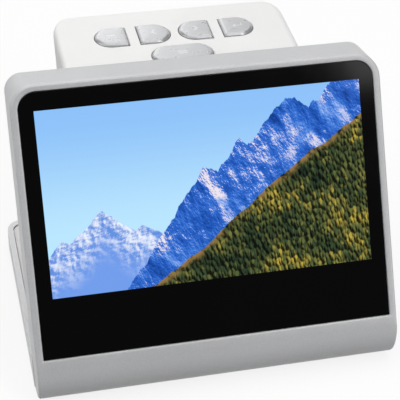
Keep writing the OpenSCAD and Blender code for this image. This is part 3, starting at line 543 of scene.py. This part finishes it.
# %% The mountains
SKY_HIGH, SKY_LOW = (0.27, 0.54, 0.95), (0.50, 0.80, 1.0)
FAR_PEAKS = [(0.045, 0.17, 1.1, 0.5), (0.17, 0.245, 0.85, 0.7), (0.29, 0.19, 0.6, 0.5)]
NEAR_PEAKS = [
    (0.37, 0.17, 1.3, 0.25), (0.49, 0.345, 1.35, 0.4), (0.61, 0.41, 1.1, 0.5),
    (0.76, 0.53, 1.05, 0.45), (0.95, 0.60, 0.9, 0.3),
]
FAR_ROCK, FAR_LIT, FAR_HAZE = (0.12, 0.28, 0.76), (0.85, 0.90, 1.0), (0.17, 0.34, 0.84)
NEAR_ROCK = [
    (0.22, (0.004, 0.040, 0.25)), (0.45, (0.018, 0.115, 0.56)),
    (0.6, (0.07, 0.23, 0.74)), (0.78, (0.34, 0.50, 0.90)),
]
SNOW, NEAR_HAZE = (0.88, 0.80, 0.85), (0.0, 0.13, 0.50)
RELIEF_GAIN = 4


def skyline(spot, across, peaks, seed, rough_height):
    """The highest tent at each place: its peak less a slope to the left and another to the right.
    A peak is (across, height, slope to its left, slope to its right)."""
    line = None
    for middle, height, left, right in peaks:
        tent = height - ((across - middle) * right).most((middle - across) * left)
        line = tent if line is None else line.most(tent)
    return line + ridge(spot, across, seed, 0.07, rough_height)


def relief(spot, across, up, size, reach, seed, rough=0.66):
    """Depth a little way towards the light, upper right, less the depth here; 0.5 is level ground."""
    here = spot.noise(size, 9, rough, spot.at(across, up, seed))
    there = spot.noise(size, 9, rough, spot.at(across + reach, up + reach, seed))
    return (there - here) * RELIEF_GAIN + 0.5


def far_range(spot, across, up, line):
    """Pale rock in relief that fades into blue haze below its skyline."""
    lit = relief(spot, across, up, 0.09, 0.006, 3.1)
    rock = lit.ramp(0.25, 0.8).mix(FAR_ROCK, FAR_LIT)
    return (line - up).ramp(0.02, 0.17).mix(rock, FAR_HAZE)


def near_range(spot, across, up, line):
    """Blue rock in broad faces with steep gullies, and snow on the ledges that face the light."""
    gully = across * 1.4 + up * 0.35
    broad = relief(spot, gully, up * 0.7, 0.17, 0.015, 7.7, 0.5)
    fine = relief(spot, gully * 1.3, up, 0.032, 0.0022, 5.2)
    shade = broad * 0.55 + fine * 0.45
    rock = shade.colours(NEAR_ROCK)
    patches = spot.noise(0.11, 4, 0.6, spot.at(across, up, 9.4)).ramp(0.42, 0.56)
    snow = shade.ramp(0.57, 0.66) * patches * (line - up).ramp(0.34, 0.04)
    return (line - up).ramp(0.16, 0.46).mix(snow.mix(rock, SNOW), NEAR_HAZE)


print("far peaks:", len(FAR_PEAKS), "near peaks:", len(NEAR_PEAKS))

# %% [markdown]
# The wooded slope is made of small cells, one for each tree crown. A crown is bright on top and
# dark at its foot, and every tree has its own green; wide patches turn olive or yellow, and
# bare ground shows rusty along the slope's upper edge.

# %% The wooded slope
TREE, TREE_TALL, SWAY, CROWN_LIGHT = 0.0095, 0.46, 0.006, 0.002
LEAVES = [
    (0.15, (0.008, 0.018, 0.012)), (0.42, (0.034, 0.056, 0.022)),
    (0.64, (0.105, 0.120, 0.034)), (0.88, (0.40, 0.31, 0.045)),
]
BARE_GROUND = (0.30, 0.185, 0.06)


def woods(spot, across, up, line):
    """Each crown's light is its cell's distance a little way towards the light, less that here."""
    drift = spot.noise(0.012, 1, 0.5, spot.at(across, up, 1.7)) * SWAY
    trees = spot.at(across + drift, up * TREE_TALL, 2.3)
    crown = spot.cells(TREE, trees)
    towards = spot.at(across + drift + CROWN_LIGHT, up * TREE_TALL + CROWN_LIGHT, 2.3)
    kind = spot.node("ShaderNodeSeparateColor", {}, {0: spot.cells(TREE, trees, output="Color")})
    patch = spot.noise(0.16, 4, 0.62, spot.at(across, up, 6.6))
    tone = patch.ramp(0.3, 0.7) * 0.5 + kind * 0.35 + across.ramp(0.45, 1.0) * 0.2
    light = ((spot.cells(TREE, towards) - crown) * 1.8 + 0.5).ramp(0.1, 0.95) * 1.3 + 0.07
    inputs = {0: tone.colours(LEAVES), "Scale": light}
    lit = spot.node("ShaderNodeVectorMath", {"operation": "SCALE"}, inputs)
    gravel = spot.noise(0.03, 4, 0.6, spot.at(across, up, 8.8)).ramp(0.42, 0.6)
    return ((line - up).ramp(0.03, 0.0) * gravel).mix(lit, BARE_GROUND)


print("trees per picture width:", round(1 / TREE))

# %% [markdown]
# The whole picture is painted from the sky forwards. Outside the screen's edges the glass stays
# black, and the black is so deep that nearly all that it shows is what it mirrors.

# %% The whole picture and the glass
WOOD_START, WOOD_CLIMB, EDGE = 0.31, 0.68, 0.0016
GLASS_BLACK, SMEARED_BLACK = (0.0010, 0.0010, 0.0011), (0.0016, 0.0016, 0.0017)


def landscape(spot):
    """Paints the layers from the sky forwards, each through the soft edge of its skyline."""
    across, up = picture_place(spot)
    scene = up.ramp(0.15, 0.56).mix(SKY_LOW, SKY_HIGH)
    far_line = skyline(spot, across, FAR_PEAKS, 0.7, 0.05)
    near_line = skyline(spot, across, NEAR_PEAKS, 4.2, 0.11)
    wood_line = (across - WOOD_START) * WOOD_CLIMB + ridge(spot, across, 12.9, 0.2, 0.10)
    for line, layer in ((far_line, far_range), (near_line, near_range), (wood_line, woods)):
        scene = (line - up).ramp(-EDGE, EDGE).mix(scene, layer(spot, across, up, line))
    inside = (abs(across - 0.5)).ramp(0.5 + EDGE / 4, 0.5 - EDGE / 4)
    height = (SCREEN_HIGH - SCREEN_LOW) / SCREEN_W / 2
    inside = inside * (abs(up - height)).ramp(height + EDGE / 4, height - EDGE / 4)
    return inside.mix((0.0, 0.0, 0.0), scene)


def lit_glass(spot):
    """Black glass with faint smears, through which the picture shines."""
    smear = spot.noise(18, 3)
    return {
        "Base Color": spot.noise(40, 2).mix(GLASS_BLACK, SMEARED_BLACK),
        "Roughness": 0.085 + smear.ramp(0.45, 0.7) * 0.03,
        "Emission Color": landscape(spot),
    }


def screen_with_painted_picture(spot):
    """The screen under the glass, with its picture painted into its colour: painted light, since the
    picture is the screen's own light and would not show with its light off.
    """
    return {"Base Color": landscape(spot), "Roughness": 0.3 + spot.noise(1, 2) * 0.1}


cover_glass = finish("cover glass", lit_glass, Specular_IOR_Level=0.22, Emission_Strength=1.0)
painted_picture_panel = finish("screen panel", screen_with_painted_picture)
print("glass and screen ready")

# %% [markdown]
# The glass keeps its solid. A thin bevel breaks its edge, as grinding does on the real sheet,
# and draws a fine line of light round it.

# %% Dressing a solid of the construction model
MERGE, FLAT = 0.001 * MM, math.radians(0.5)
BEVEL_FROM, BEVEL_STEPS = math.radians(40), 2


def dress(node, coat, bevel=0.0):
    """Gives a node its finish and, where asked, joins its loose triangles and rounds its edges."""
    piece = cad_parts[node]
    piece.data.materials.clear()
    piece.data.materials.append(coat)
    if bevel:
        weld = piece.modifiers.new("weld", "WELD")
        weld.merge_threshold = MERGE
        flat = piece.modifiers.new("flat", "DECIMATE")
        flat.decimate_type, flat.angle_limit = "DISSOLVE", FLAT
        edge = piece.modifiers.new("edge", "BEVEL")
        edge.width, edge.segments = bevel * MM, BEVEL_STEPS
        edge.limit_method, edge.angle_limit = "ANGLE", BEVEL_FROM
        even = piece.modifiers.new("even", "WEIGHTED_NORMAL")
        even.keep_sharp = True


dress("cover_glass", cover_glass, 0.15)
dress("lcd_screen", painted_picture_panel)
print("glass dressed")

# %% [markdown]
# ## The white casing
# The casing behind the display is a moulded box. Its level top runs into the sides over a wide
# round and into the back over a narrow one, while the holes for the buttons have only a broken
# edge. It is a copy of the solid. The solid's holes bulge a little through their straight sides,
# because their round ends are whole circles, so the copy's holes are made straight first. ENDS
# says at which end a button is round: -1 at the left, 1 at the right, 0 at both.

# %% A copy of the solid with straight holes
ENDS = {"left_end": -1, "left_inner": 1, "right_inner": -1, "right_end": 1, "oval": 0}
CAP_LIP, CAP_GAP, CAP_BULGE, BULGE_HALF, SLACK = 0.8, 0.25, 0.3, 2.5, 0.02


def merged_copy(node, name):
    """A copy of a solid, with doubles merged and flat triangles joined into whole faces."""
    work = bmesh.new()
    work.from_mesh(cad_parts[node].data)
    bmesh.ops.remove_doubles(work, verts=work.verts, dist=MERGE)
    bmesh.ops.dissolve_limit(work, angle_limit=FLAT, verts=work.verts, edges=work.edges)
    mesh = bpy.data.meshes.new(name)
    work.to_mesh(mesh)
    work.free()
    piece = bpy.data.objects.new(name, mesh)
    bpy.context.scene.collection.objects.link(piece)
    return piece


def mesh_points(mesh):
    """Every point of a mesh in millimetres, one row each."""
    points = np.empty(len(mesh.vertices) * 3, np.float32)
    mesh.vertices.foreach_get("co", points)
    return points.reshape(-1, 3) / MM


def straighten_holes(mesh):
    """Moves each point of a bulge onto the line of its hole's straight side. Counted from the end
    of the button's box, that line lies in by the lip and the bulge, less the gap round the cap."""
    points = mesh_points(mesh)
    for place, end in ENDS.items():
        low, high = (np.array(corner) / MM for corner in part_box("button_" + place))
        line = (low if end > 0 else high)[0] + end * (CAP_LIP + CAP_BULGE - CAP_GAP)
        past, aside = (line - points[:, 0]) * end, abs(points[:, 1] - (low + high)[1] / 2)
        bulge = (past > 0) & (past < CAP_BULGE + SLACK) & (aside < BULGE_HALF)
        points[bulge, 0] = line
        print(place, "points moved onto the line:", int(bulge.sum()))
    mesh.vertices.foreach_set("co", (points * MM).astype(np.float32).ravel())


casing = merged_copy("body_shell", "rear_casing")
straighten_holes(casing.data)

# %% [markdown]
# A bevel can be told how much of its width each edge gets. That share is worked out here from
# where both ends of the edge lie, so one modifier makes the wide round, the narrow one and the
# broken rims.

# %% Casing with its edges rounded by place
CASING_HALF, CASING_TOP = (np.array(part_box("body_shell")[1]) / MM)[[0, 2]]
CASING_FOOT, CASING_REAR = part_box("body_shell")[0].z / MM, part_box("body_shell")[1].y / MM
SIDE_ROUND, ROUNDING_STEPS, CORNER_R = 2.6, 5, 7.7
REAR_SHARE, RIM_SHARE = 0.4, 0.09
NEAR_SIDE, ON_FACE = 0.5, 0.01


def edge_places(mesh):
    """Both ends of every edge, in millimetres, as an array of edges by ends by x, y and z."""
    ends = np.empty(len(mesh.edges) * 2, np.int32)
    mesh.edges.foreach_get("vertices", ends)
    return mesh_points(mesh)[ends.reshape(-1, 2)]


def casing_shares(ends, creased):
    """The share is 1 along the sides, falls to REAR_SHARE round the rear corners and is small on
    rims. It is none between flat faces, and on edges that cross the roof from a hole to the outside."""
    level = np.abs(ends[..., 2] - CASING_TOP).max(1) < ON_FACE
    turn = np.clip((np.abs(ends[..., 0].mean(1)) - (CASING_HALF - CORNER_R)) / CORNER_R, 0, 1) ** 2
    outside = (np.abs(ends[..., 0]) > CASING_HALF - NEAR_SIDE) | (ends[..., 1] > CASING_REAR - CORNER_R)
    share = np.where(level & outside.all(1), REAR_SHARE + (1 - REAR_SHARE) * turn, 0.0)
    share = np.where(level & ~outside.any(1), RIM_SHARE, share)
    wall = (np.abs(np.abs(ends[..., 0]) - CASING_HALF).max(1) < ON_FACE) & ~level
    foot = np.abs(ends[..., 2] - CASING_FOOT).max(1) < ON_FACE
    return np.where(wall | foot, RIM_SHARE, share) * creased


casing.data.shade_smooth()
casing.data.set_sharp_from_angle(angle=SHARP)
creased = np.empty(len(casing.data.edges), bool)
casing.data.attributes["sharp_edge"].data.foreach_get("value", creased)
shares = casing.data.attributes.new("bevel_weight_edge", "FLOAT", "EDGE")
shares.data.foreach_set("value", casing_shares(edge_places(casing.data), creased).astype(np.float32))
rounding = casing.modifiers.new("rounding", "BEVEL")
rounding.width, rounding.segments = SIDE_ROUND * MM, ROUNDING_STEPS
rounding.limit_method = "WEIGHT"
rounding.use_clamp_overlap = False
place_piece(casing, "casing", "white_shell", shell_white, "body_shell")

# %% [markdown]
# ## Buttons
# Four buttons are round at one end and square at the other, and the fifth is oval. A button is
# a cap with a soft chamfer and a slightly domed top, on a wider lip that keeps it under the roof,
# and a stem that meets the switch. Each is a stack of outlines again, closed at both ends.

# %% A button's outline
CAP_SIDES = 96
SQUARE_R, SQUARE_LEAST = 0.9, 0.15


def button_outline(half_w, half_d, end, inset):
    """Points at equal turns round the outline: a half circle at each round end, else a small corner.
    The end is 1 where the right one is round, -1 where the left one is, and 0 where both are."""
    wide, deep = half_w - inset, half_d - inset
    round_r, square_r = deep, max(SQUARE_R - inset, SQUARE_LEAST)
    left = round_r if end <= 0 else square_r
    right = round_r if end >= 0 else square_r
    turn = np.linspace(0, math.pi / 2, CAP_SIDES // 4)
    parts = []
    for side_x, side_y, radius, start in (
        (1, 1, right, 0), (-1, 1, left, math.pi / 2), (-1, -1, left, math.pi), (1, -1, right, -math.pi / 2),
    ):
        x = side_x * (wide - radius) + radius * np.cos(turn + start)
        y = side_y * (deep - radius) + radius * np.sin(turn + start)
        parts.append(np.stack([x, y], -1))
    return np.concatenate(parts)


print("points round a cap:", CAP_SIDES)

# %% [markdown]
# Every outline of a button has the same number of points, also the stem's round one, so the stack
# needs no special joints. The poles in the middle of its top and foot close it.

# %% A button's stack of outlines
BUTTON_EDGE, BUTTON_DOME, EDGE_POWER = 0.9, 0.10, 1.6
DOME_RINGS, CAP_ROUNDS = (0.25, 0.5, 0.72, 0.88, 1.0), 8
LIP_FOOT, LIP_THICK, STEM_R = 0.9, 0.8, 2.5


def button_stack(half_w, half_d, end, top, lip_top, lip_foot, foot):
    """From the middle of the dome outwards, down the side, round the lip and in to the stem's foot.
    The edge is a quarter of a superellipse: with EDGE_POWER 1 it would be a circle's, with 2 a plain
    chamfer, and between them it is a chamfer with soft ends."""
    rim = button_outline(half_w, half_d, end, BUTTON_EDGE)
    rings = [(rim * k, top - BUTTON_DOME * k * k) for k in DOME_RINGS]
    for turn in np.linspace(0, math.pi / 2, CAP_ROUNDS)[1:]:
        across, up = math.sin(turn) ** EDGE_POWER, abs(math.cos(turn)) ** EDGE_POWER
        outline = button_outline(half_w, half_d, end, BUTTON_EDGE * (1 - across))
        rings.append((outline, top - BUTTON_DOME - BUTTON_EDGE * (1 - up)))
    side, lip = (button_outline(half_w, half_d, end, grow) for grow in (0.0, -CAP_LIP))
    stem = STEM_R * rim / np.linalg.norm(rim, axis=1, keepdims=True)
    rings += [(side, lip_top), (lip, lip_top), (lip, lip_foot), (stem, lip_foot), (stem, foot)]
    outlines = np.stack([outline for outline, _ in rings])
    heights = np.broadcast_to(np.array([z for _, z in rings])[:, None, None], (*outlines.shape[:2], 1))
    return np.concatenate([outlines, heights], -1)


def make_button(node, body, end):
    """A cap where its solid is, but shorter by the bulge, with the round end where it was."""
    low, high = (np.array(corner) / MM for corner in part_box(node))
    middle = (low + high)[:2] / 2 + (end * CAP_BULGE / 2, 0)
    half_w, half_d = (high - low)[:2] / 2 - CAP_LIP - (abs(end) * CAP_BULGE / 2, 0)
    lip_foot = low[2] + LIP_FOOT
    stack = button_stack(half_w, half_d, end, high[2], lip_foot + LIP_THICK, lip_foot, low[2])
    stack[..., :2] += middle
    rows, cols = stack.shape[:2]
    poles = np.array([[*middle, high[2]], [*middle, low[2]]])
    points = np.concatenate([stack.reshape(-1, 3), poles]) * MM
    faces = [grid_quads(rows, cols, False), fan(np.arange(cols), rows * cols)]
    faces.append(fan(np.arange(cols)[::-1] + (rows - 1) * cols, rows * cols + 1))
    add_piece(node + "_cap", points, faces, body, "button_silver", button_coat(node, middle), node)


print("rings round a cap's edge:", CAP_ROUNDS - 1)

# %% [markdown]
# Each cap carries a small pale mark, printed on the lacquer: a dash, two arrow heads, a bent
# arrow and a pair of strokes. A mark is a sum of bars and arrow heads, which are masks on the
# distance from the cap's middle.

# %% Marks on the caps
MARK_SOFT, HEAD_LINE, DASH, STROKE = 0.05, 0.28, 0.2, 0.18


def bar(x, y, across, up, half_x, half_y):
    """1 inside a rectangle about (across, up), with a soft edge."""
    inside_x = abs(x - across).ramp(half_x + MARK_SOFT, half_x - MARK_SOFT)
    return inside_x * abs(y - up).ramp(half_y + MARK_SOFT, half_y - MARK_SOFT)


def head(x, y, tip, way, size):
    """An arrow head with its tip at x = tip, which points left (-1) or right (1)."""
    from_tip = (x - tip) * -way
    slant = abs(from_tip - abs(y)).ramp(HEAD_LINE + MARK_SOFT, HEAD_LINE - MARK_SOFT)
    return slant * abs(y).ramp(size + MARK_SOFT, size - MARK_SOFT)


MARKS = {
    "button_left_end": lambda x, y: bar(x, y, 0, 0, 1.5, DASH),
    "button_left_inner": lambda x, y: head(x, y, -1.0, -1, 1.3),
    "button_right_inner": lambda x, y: head(x, y, 1.0, 1, 1.3),
    "button_right_end": lambda x, y: bar(x, y, 0.2, -0.6, 1.5, STROKE).most(
        bar(x, y, 1.55, 0.1, STROKE, 0.85)).most(head(x, y + 0.6, -1.5, -1, 0.8)),
    "button_oval": lambda x, y: bar(x, y, 0, 0.55, 1.7, STROKE).most(bar(x, y, 0, -0.55, 1.7, STROKE)),
}
print("marks:", len(MARKS))

# %% [markdown]
# The caps' lacquer is like the housing's, a little darker and with more metal in it. The mark
# covers it only partly, as a thin print does.

# %% Caps
CAP_GREY, CAP_METAL, CAP_GLOSS, CAP_SKIN_DEPTH = (0.50, 0.505, 0.515), 0.5, 0.27, 0.003
MARK_GREY, MARK_COVER = (0.80, 0.80, 0.80), 0.7


def button_coat(node, middle):
    """Paint whose colour carries painted glints, one per flake, and the cap's mark printed thinly on it
    about the cap's middle.
    """
    def vary(spot):
        paint, _ = paint_with_flake_glints(spot, CAP_GREY, 0.03, 9, 2)
        mark = MARKS[node](spot.x - float(middle[0]), spot.y - float(middle[1]))
        return {
            "Base Color": (mark * MARK_COVER).mix(paint, MARK_GREY),
            "Roughness": CAP_GLOSS + spot.noise(2.5, 3).ramp(0.3, 0.7) * 0.05,
            "Normal": spot.bump(spot.noise(SKIN, 1), CAP_SKIN_DEPTH),
        }
    return finish(node.replace("_", " ") + " lacquer", vary, Metallic=CAP_METAL)


for place, end in ENDS.items():
    make_button("button_" + place, place + "_button", end)

# %% [markdown]
# ## The other finishes
# Everything else keeps its solid. The tray is silver like the housing, and the deck and the
# scan housing are white. Screws and sockets are bare metal with fine turning or drawing lines;
# boards are green lacquer over copper tracks; rubber feet and black plastic are dull with a
# grain of their own.

# %% Metal, rubber and plastic
def drawn_metal(name, dark, bright, line, gloss):
    """Fine lines along y, as a drawn or turned sheet has, with a few scratches across them."""
    def vary(spot):
        lines = spot.noise(1, 4, 0.7, spot.at(spot.x / line, spot.y * 0.2, spot.z / line))
        scratch = spot.noise(1, 2, 0.5, spot.at(spot.x * 0.3, spot.y / line, spot.z)).ramp(0.62, 0.7)
        return {
            "Base Color": lines.ramp(0.3, 0.7).mix(dark, bright),
            "Roughness": gloss + lines * 0.12 + scratch * 0.1,
            "Normal": spot.bump(lines, 0.004),
        }
    return finish(name, vary, Metallic=1.0)


def grained(name, dark, bright, size, gloss, depth, **constants):
    """Moulded plastic or rubber: a cloudy tint, and a pebbled skin of the given size."""
    def vary(spot):
        grain = spot.cells(size, feature="SMOOTH_F1") * 0.6 + spot.noise(size * 0.7, 2) * 0.4
        return {
            "Base Color": spot.noise(size * 25, 3).ramp(0.3, 0.7).mix(dark, bright),
            "Roughness": gloss + grain * 0.1,
            "Normal": spot.bump(grain, depth),
        }
    return finish(name, vary, **constants)


screw_metal = drawn_metal("dark zinc", (0.20, 0.20, 0.22), (0.34, 0.34, 0.36), 0.06, 0.28)
sheet_metal = drawn_metal("bright sheet", (0.56, 0.56, 0.57), (0.74, 0.74, 0.75), 0.09, 0.22)
foot_rubber = grained("foot rubber", (0.018, 0.018, 0.018), (0.032, 0.031, 0.030), 0.3, 0.72, 0.03)
black_plastic = grained("black moulding", (0.022, 0.022, 0.024), (0.036, 0.036, 0.038), 0.4, 0.42, 0.02)
switch_plastic = grained("switch moulding", (0.055, 0.055, 0.06), (0.085, 0.085, 0.09), 0.3, 0.45, 0.01)
milky_plastic = grained("milky sheet", (0.80, 0.80, 0.78), (0.88, 0.88, 0.86), 0.5, 0.35, 0.01)
tape_film = grained("black tape", (0.012, 0.012, 0.012), (0.02, 0.02, 0.02), 0.25, 0.6, 0.01)
chip_resin = grained("chip resin", (0.016, 0.016, 0.018), (0.03, 0.03, 0.033), 0.12, 0.5, 0.01)
lamp_resin = grained("lamp resin", (0.85, 0.80, 0.42), (0.95, 0.92, 0.60), 0.3, 0.18, 0.005)
print("plain finishes ready")

# %% [markdown]
# A circuit board shows its copper tracks as raised lines under the lacquer. Tracks run straight
# and turn at right angles, which the edges between square cells do as well. A ribbon cable is
# an amber film with a row of parallel conductors.

# %% Boards, ribbons and lenses
TRACK, TRACK_LINES, PITCH = 2.6, 5, 0.8


def board_lacquer(name, ground, track):
    """Tracks are lines of equal distance from the second nearest cell, counted along the axes."""
    def vary(spot):
        u, v = spot.x, spot.y * LEAN_SIN + spot.z * LEAN_COS
        cell = {"distance": "MANHATTAN", "feature": "F2"}
        inputs = {"Vector": spot.at(u, v), "Scale": 1 / TRACK, "Randomness": 0.9}
        edge = spot.node("ShaderNodeTexVoronoi", cell, inputs)
        lines = abs((edge * TRACK_LINES).fraction() - 0.5).ramp(0.22, 0.12)
        return {
            "Base Color": lines.mix(ground, track),
            "Roughness": 0.32 + spot.noise(2, 3) * 0.08,
            "Normal": spot.bump(lines, 0.03),
        }
    return finish(name, vary)


def ribbon_film(spot):
    """Amber film with a conductor every PITCH millimetres across it."""
    lanes = abs((spot.x / PITCH).fraction() - 0.5).ramp(0.3, 0.2)
    return {
        "Base Color": lanes.mix((0.62, 0.27, 0.05), (0.40, 0.15, 0.03)),
        "Roughness": 0.25 + spot.noise(3, 3) * 0.1,
        "Normal": spot.bump(lanes, 0.03),
    }


def lens_coat(spot):
    """Clear glass with the blue and violet cast of a lens coating."""
    tint = spot.noise(3, 2).ramp(0.3, 0.7).mix((0.10, 0.14, 0.24), (0.16, 0.12, 0.26))
    return {"Base Color": tint, "Roughness": 0.03 + spot.noise(6, 3).ramp(0.5, 0.8) * 0.04}


green_board = board_lacquer("green board", (0.012, 0.10, 0.035), (0.03, 0.19, 0.07))
white_board = board_lacquer("white board", (0.78, 0.78, 0.78), (0.70, 0.70, 0.68))
ribbon_amber = finish("ribbon film", ribbon_film)
lens_glass = finish("lens glass", lens_coat, Transmission_Weight=0.6, IOR=1.5, Coat_Weight=1.0)
print("board cells of about", TRACK, "mm")

# %% [markdown]
# Each finish now goes to its solids. The moulded pieces that show also get a fine bevel, in
# millimetres, because no moulded edge is truly sharp; the others stay as they are.

# %% Dress the remaining solids
COATS = [
    (lit_tray_silver, 0.5, ["base_tray"]), (shell_silver, 0.2, ["display_back"]),
    (shell_white, 0.15, ["deck_plate"]), (shell_white, 0.3, ["scan_housing"]),
    (black_plastic, 0.25, ["film_tray", "tray_cover"]), (foot_rubber, 0.3, ["rubber_feet"]),
    (black_plastic, 0, ["film_channel", "lens_holder", "lens_barrel", "optical_tunnel"]),
    (black_plastic, 0, [f"plunger_{place}" for place in ENDS]), (switch_plastic, 0, ["tact_switches"]),
    (sheet_metal, 0, ["data_power_socket", "video_socket", "memory_card_socket"]),
    (sheet_metal, 0, ["lcd_frame", "detent_spring"]), (tape_film, 0, ["glass_tape"]),
    (milky_plastic, 0, ["lcd_backlight", "light_box", "diffuser"]), (white_board, 0, ["led_board"]),
    (lamp_resin, 0, ["leds"]), (chip_resin, 0, ["main_chips", "image_sensor"]),
    (green_board, 0, ["button_board", "main_board", "sensor_board"]),
    (ribbon_amber, 0, ["display_flex", "sensor_flex"]), (lens_glass, 0, ["lower_lens", "upper_lens"]),
    (screw_metal, 0, [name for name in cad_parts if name.endswith("_screws")]),
]
for coat, bevel, nodes in COATS:
    for node in nodes:
        dress(node, coat, bevel)
print("solids dressed:", sum(len(nodes) for _, _, nodes in COATS))

# %% [markdown]
# ## The studio
# The object stands on a white table that runs on into a white backdrop. The camera, mirrors and
# glass see both as white; as far as bounced light goes the table is dark, because in a product
# studio little light comes up from below, and the chin's underside would lose its shade. Most of
# the white is the table's own glow and the rest is lit, so the object's shadow still falls on it.

# %% Table, backdrop and world
STAGE_SIZE, TABLE_PLACE, BACKDROP_PLACE = 6, (0, 0.8, 0), (0, 2.6, 2.9)
TABLE_GLOW, BACKDROP_GLOW = 0.82, 0.98
BOUNCE, WORLD_GREY = 0.05, 0.12


def studio_white(name, glow):
    """White to camera, mirror and glass rays: the glow and a lit part add up to 1. Dark to others."""
    material = bpy.data.materials.new(name)
    material.use_nodes = True
    tree = material.node_tree
    tree.nodes.remove(tree.nodes["Principled BSDF"])
    spot = Wire(tree)
    camera_ray, mirror_ray, glass_ray = (
        spot.node("ShaderNodeLightPath", {}, {}, f"Is {kind} Ray")
        for kind in ("Camera", "Glossy", "Transmission")
    )
    seen = camera_ray.most(mirror_ray).most(glass_ray)
    lit = spot.node("ShaderNodeBsdfDiffuse", {}, {0: (1 - glow, 1 - glow, 1 - glow, 1)})
    lamp = spot.node("ShaderNodeEmission", {}, {0: (1, 1, 1, 1), 1: glow})
    white = spot.node("ShaderNodeAddShader", {}, {0: lit, 1: lamp})
    dark = spot.node("ShaderNodeBsdfDiffuse", {}, {0: (BOUNCE, BOUNCE, BOUNCE, 1)})
    both = spot.node("ShaderNodeMixShader", {}, {0: seen, 1: dark, 2: white})
    tree.links.new(both.socket, tree.nodes["Material Output"].inputs["Surface"])
    return material


def add_stage(name, place, turn, glow):
    """A flat square sheet that the object stands on or before. Here lengths are in metres."""
    corners = np.array([[-1, -1, 0], [1, -1, 0], [1, 1, 0], [-1, 1, 0]]) * STAGE_SIZE / 2
    mesh = bpy.data.meshes.new(name)
    mesh.from_pydata(corners.tolist(), [], [[0, 1, 2, 3]])
    sheet = bpy.data.objects.new(name, mesh)
    sheet.location, sheet.rotation_euler = place, turn
    mesh.materials.append(studio_white(name, glow))
    bpy.context.scene.collection.objects.link(sheet)


add_stage("table", TABLE_PLACE, (0, 0, 0), TABLE_GLOW)
add_stage("backdrop", BACKDROP_PLACE, (math.radians(90), 0, 0), BACKDROP_GLOW)

world = bpy.data.worlds.new("studio air")
bpy.context.scene.world = world
world.use_nodes = True
world.node_tree.nodes["Background"].inputs["Color"].default_value = (1, 1, 1, 1)
world.node_tree.nodes["Background"].inputs["Strength"].default_value = WORLD_GREY
print("world level", WORLD_GREY)

# %% [markdown]
# ## Lamps
# A wide soft box overhead lights the level tops. A second, in front on the right, lights the
# leaning face, and a small low one beside it puts a line of light on the housing's right edge.
# Boxes on the left and behind keep those walls from going dark.

# %% Soft boxes
AIM = (0, 0, 0.05)
LAMPS = [
    ("overhead", (0.0, 0.0, 1.1), 1.6, 1.6, 1.4),
    ("back", (-0.3, 1.3, 0.75), 1.2, 0.8, 1.3),
    ("front right", (0.575, -0.845, 0.91), 0.50, 0.57, 3.2),
    ("right low", (0.78, -0.99, 0.365), 0.30, 0.45, 7.0),
    ("left fill", (-1.2, -0.2, 0.5), 1.0, 0.9, 1.5),
]


def soft_box(name, place, width, height, level):
    """A rectangular lamp, in metres, whose face has this radiance whatever its size."""
    data = bpy.data.lights.new(name, "AREA")
    data.shape, data.size, data.size_y = "RECTANGLE", width, height
    data.energy = level * math.pi * width * height
    lamp = bpy.data.objects.new(name, data)
    lamp.location = place
    lamp.rotation_euler = (Vector(AIM) - Vector(place)).to_track_quat("-Z", "Y").to_euler()
    bpy.context.scene.collection.objects.link(lamp)


for lamp in LAMPS:
    soft_box(*lamp)
bpy.context.scene.view_settings.view_transform = "Standard"
print("soft boxes:", len(LAMPS))
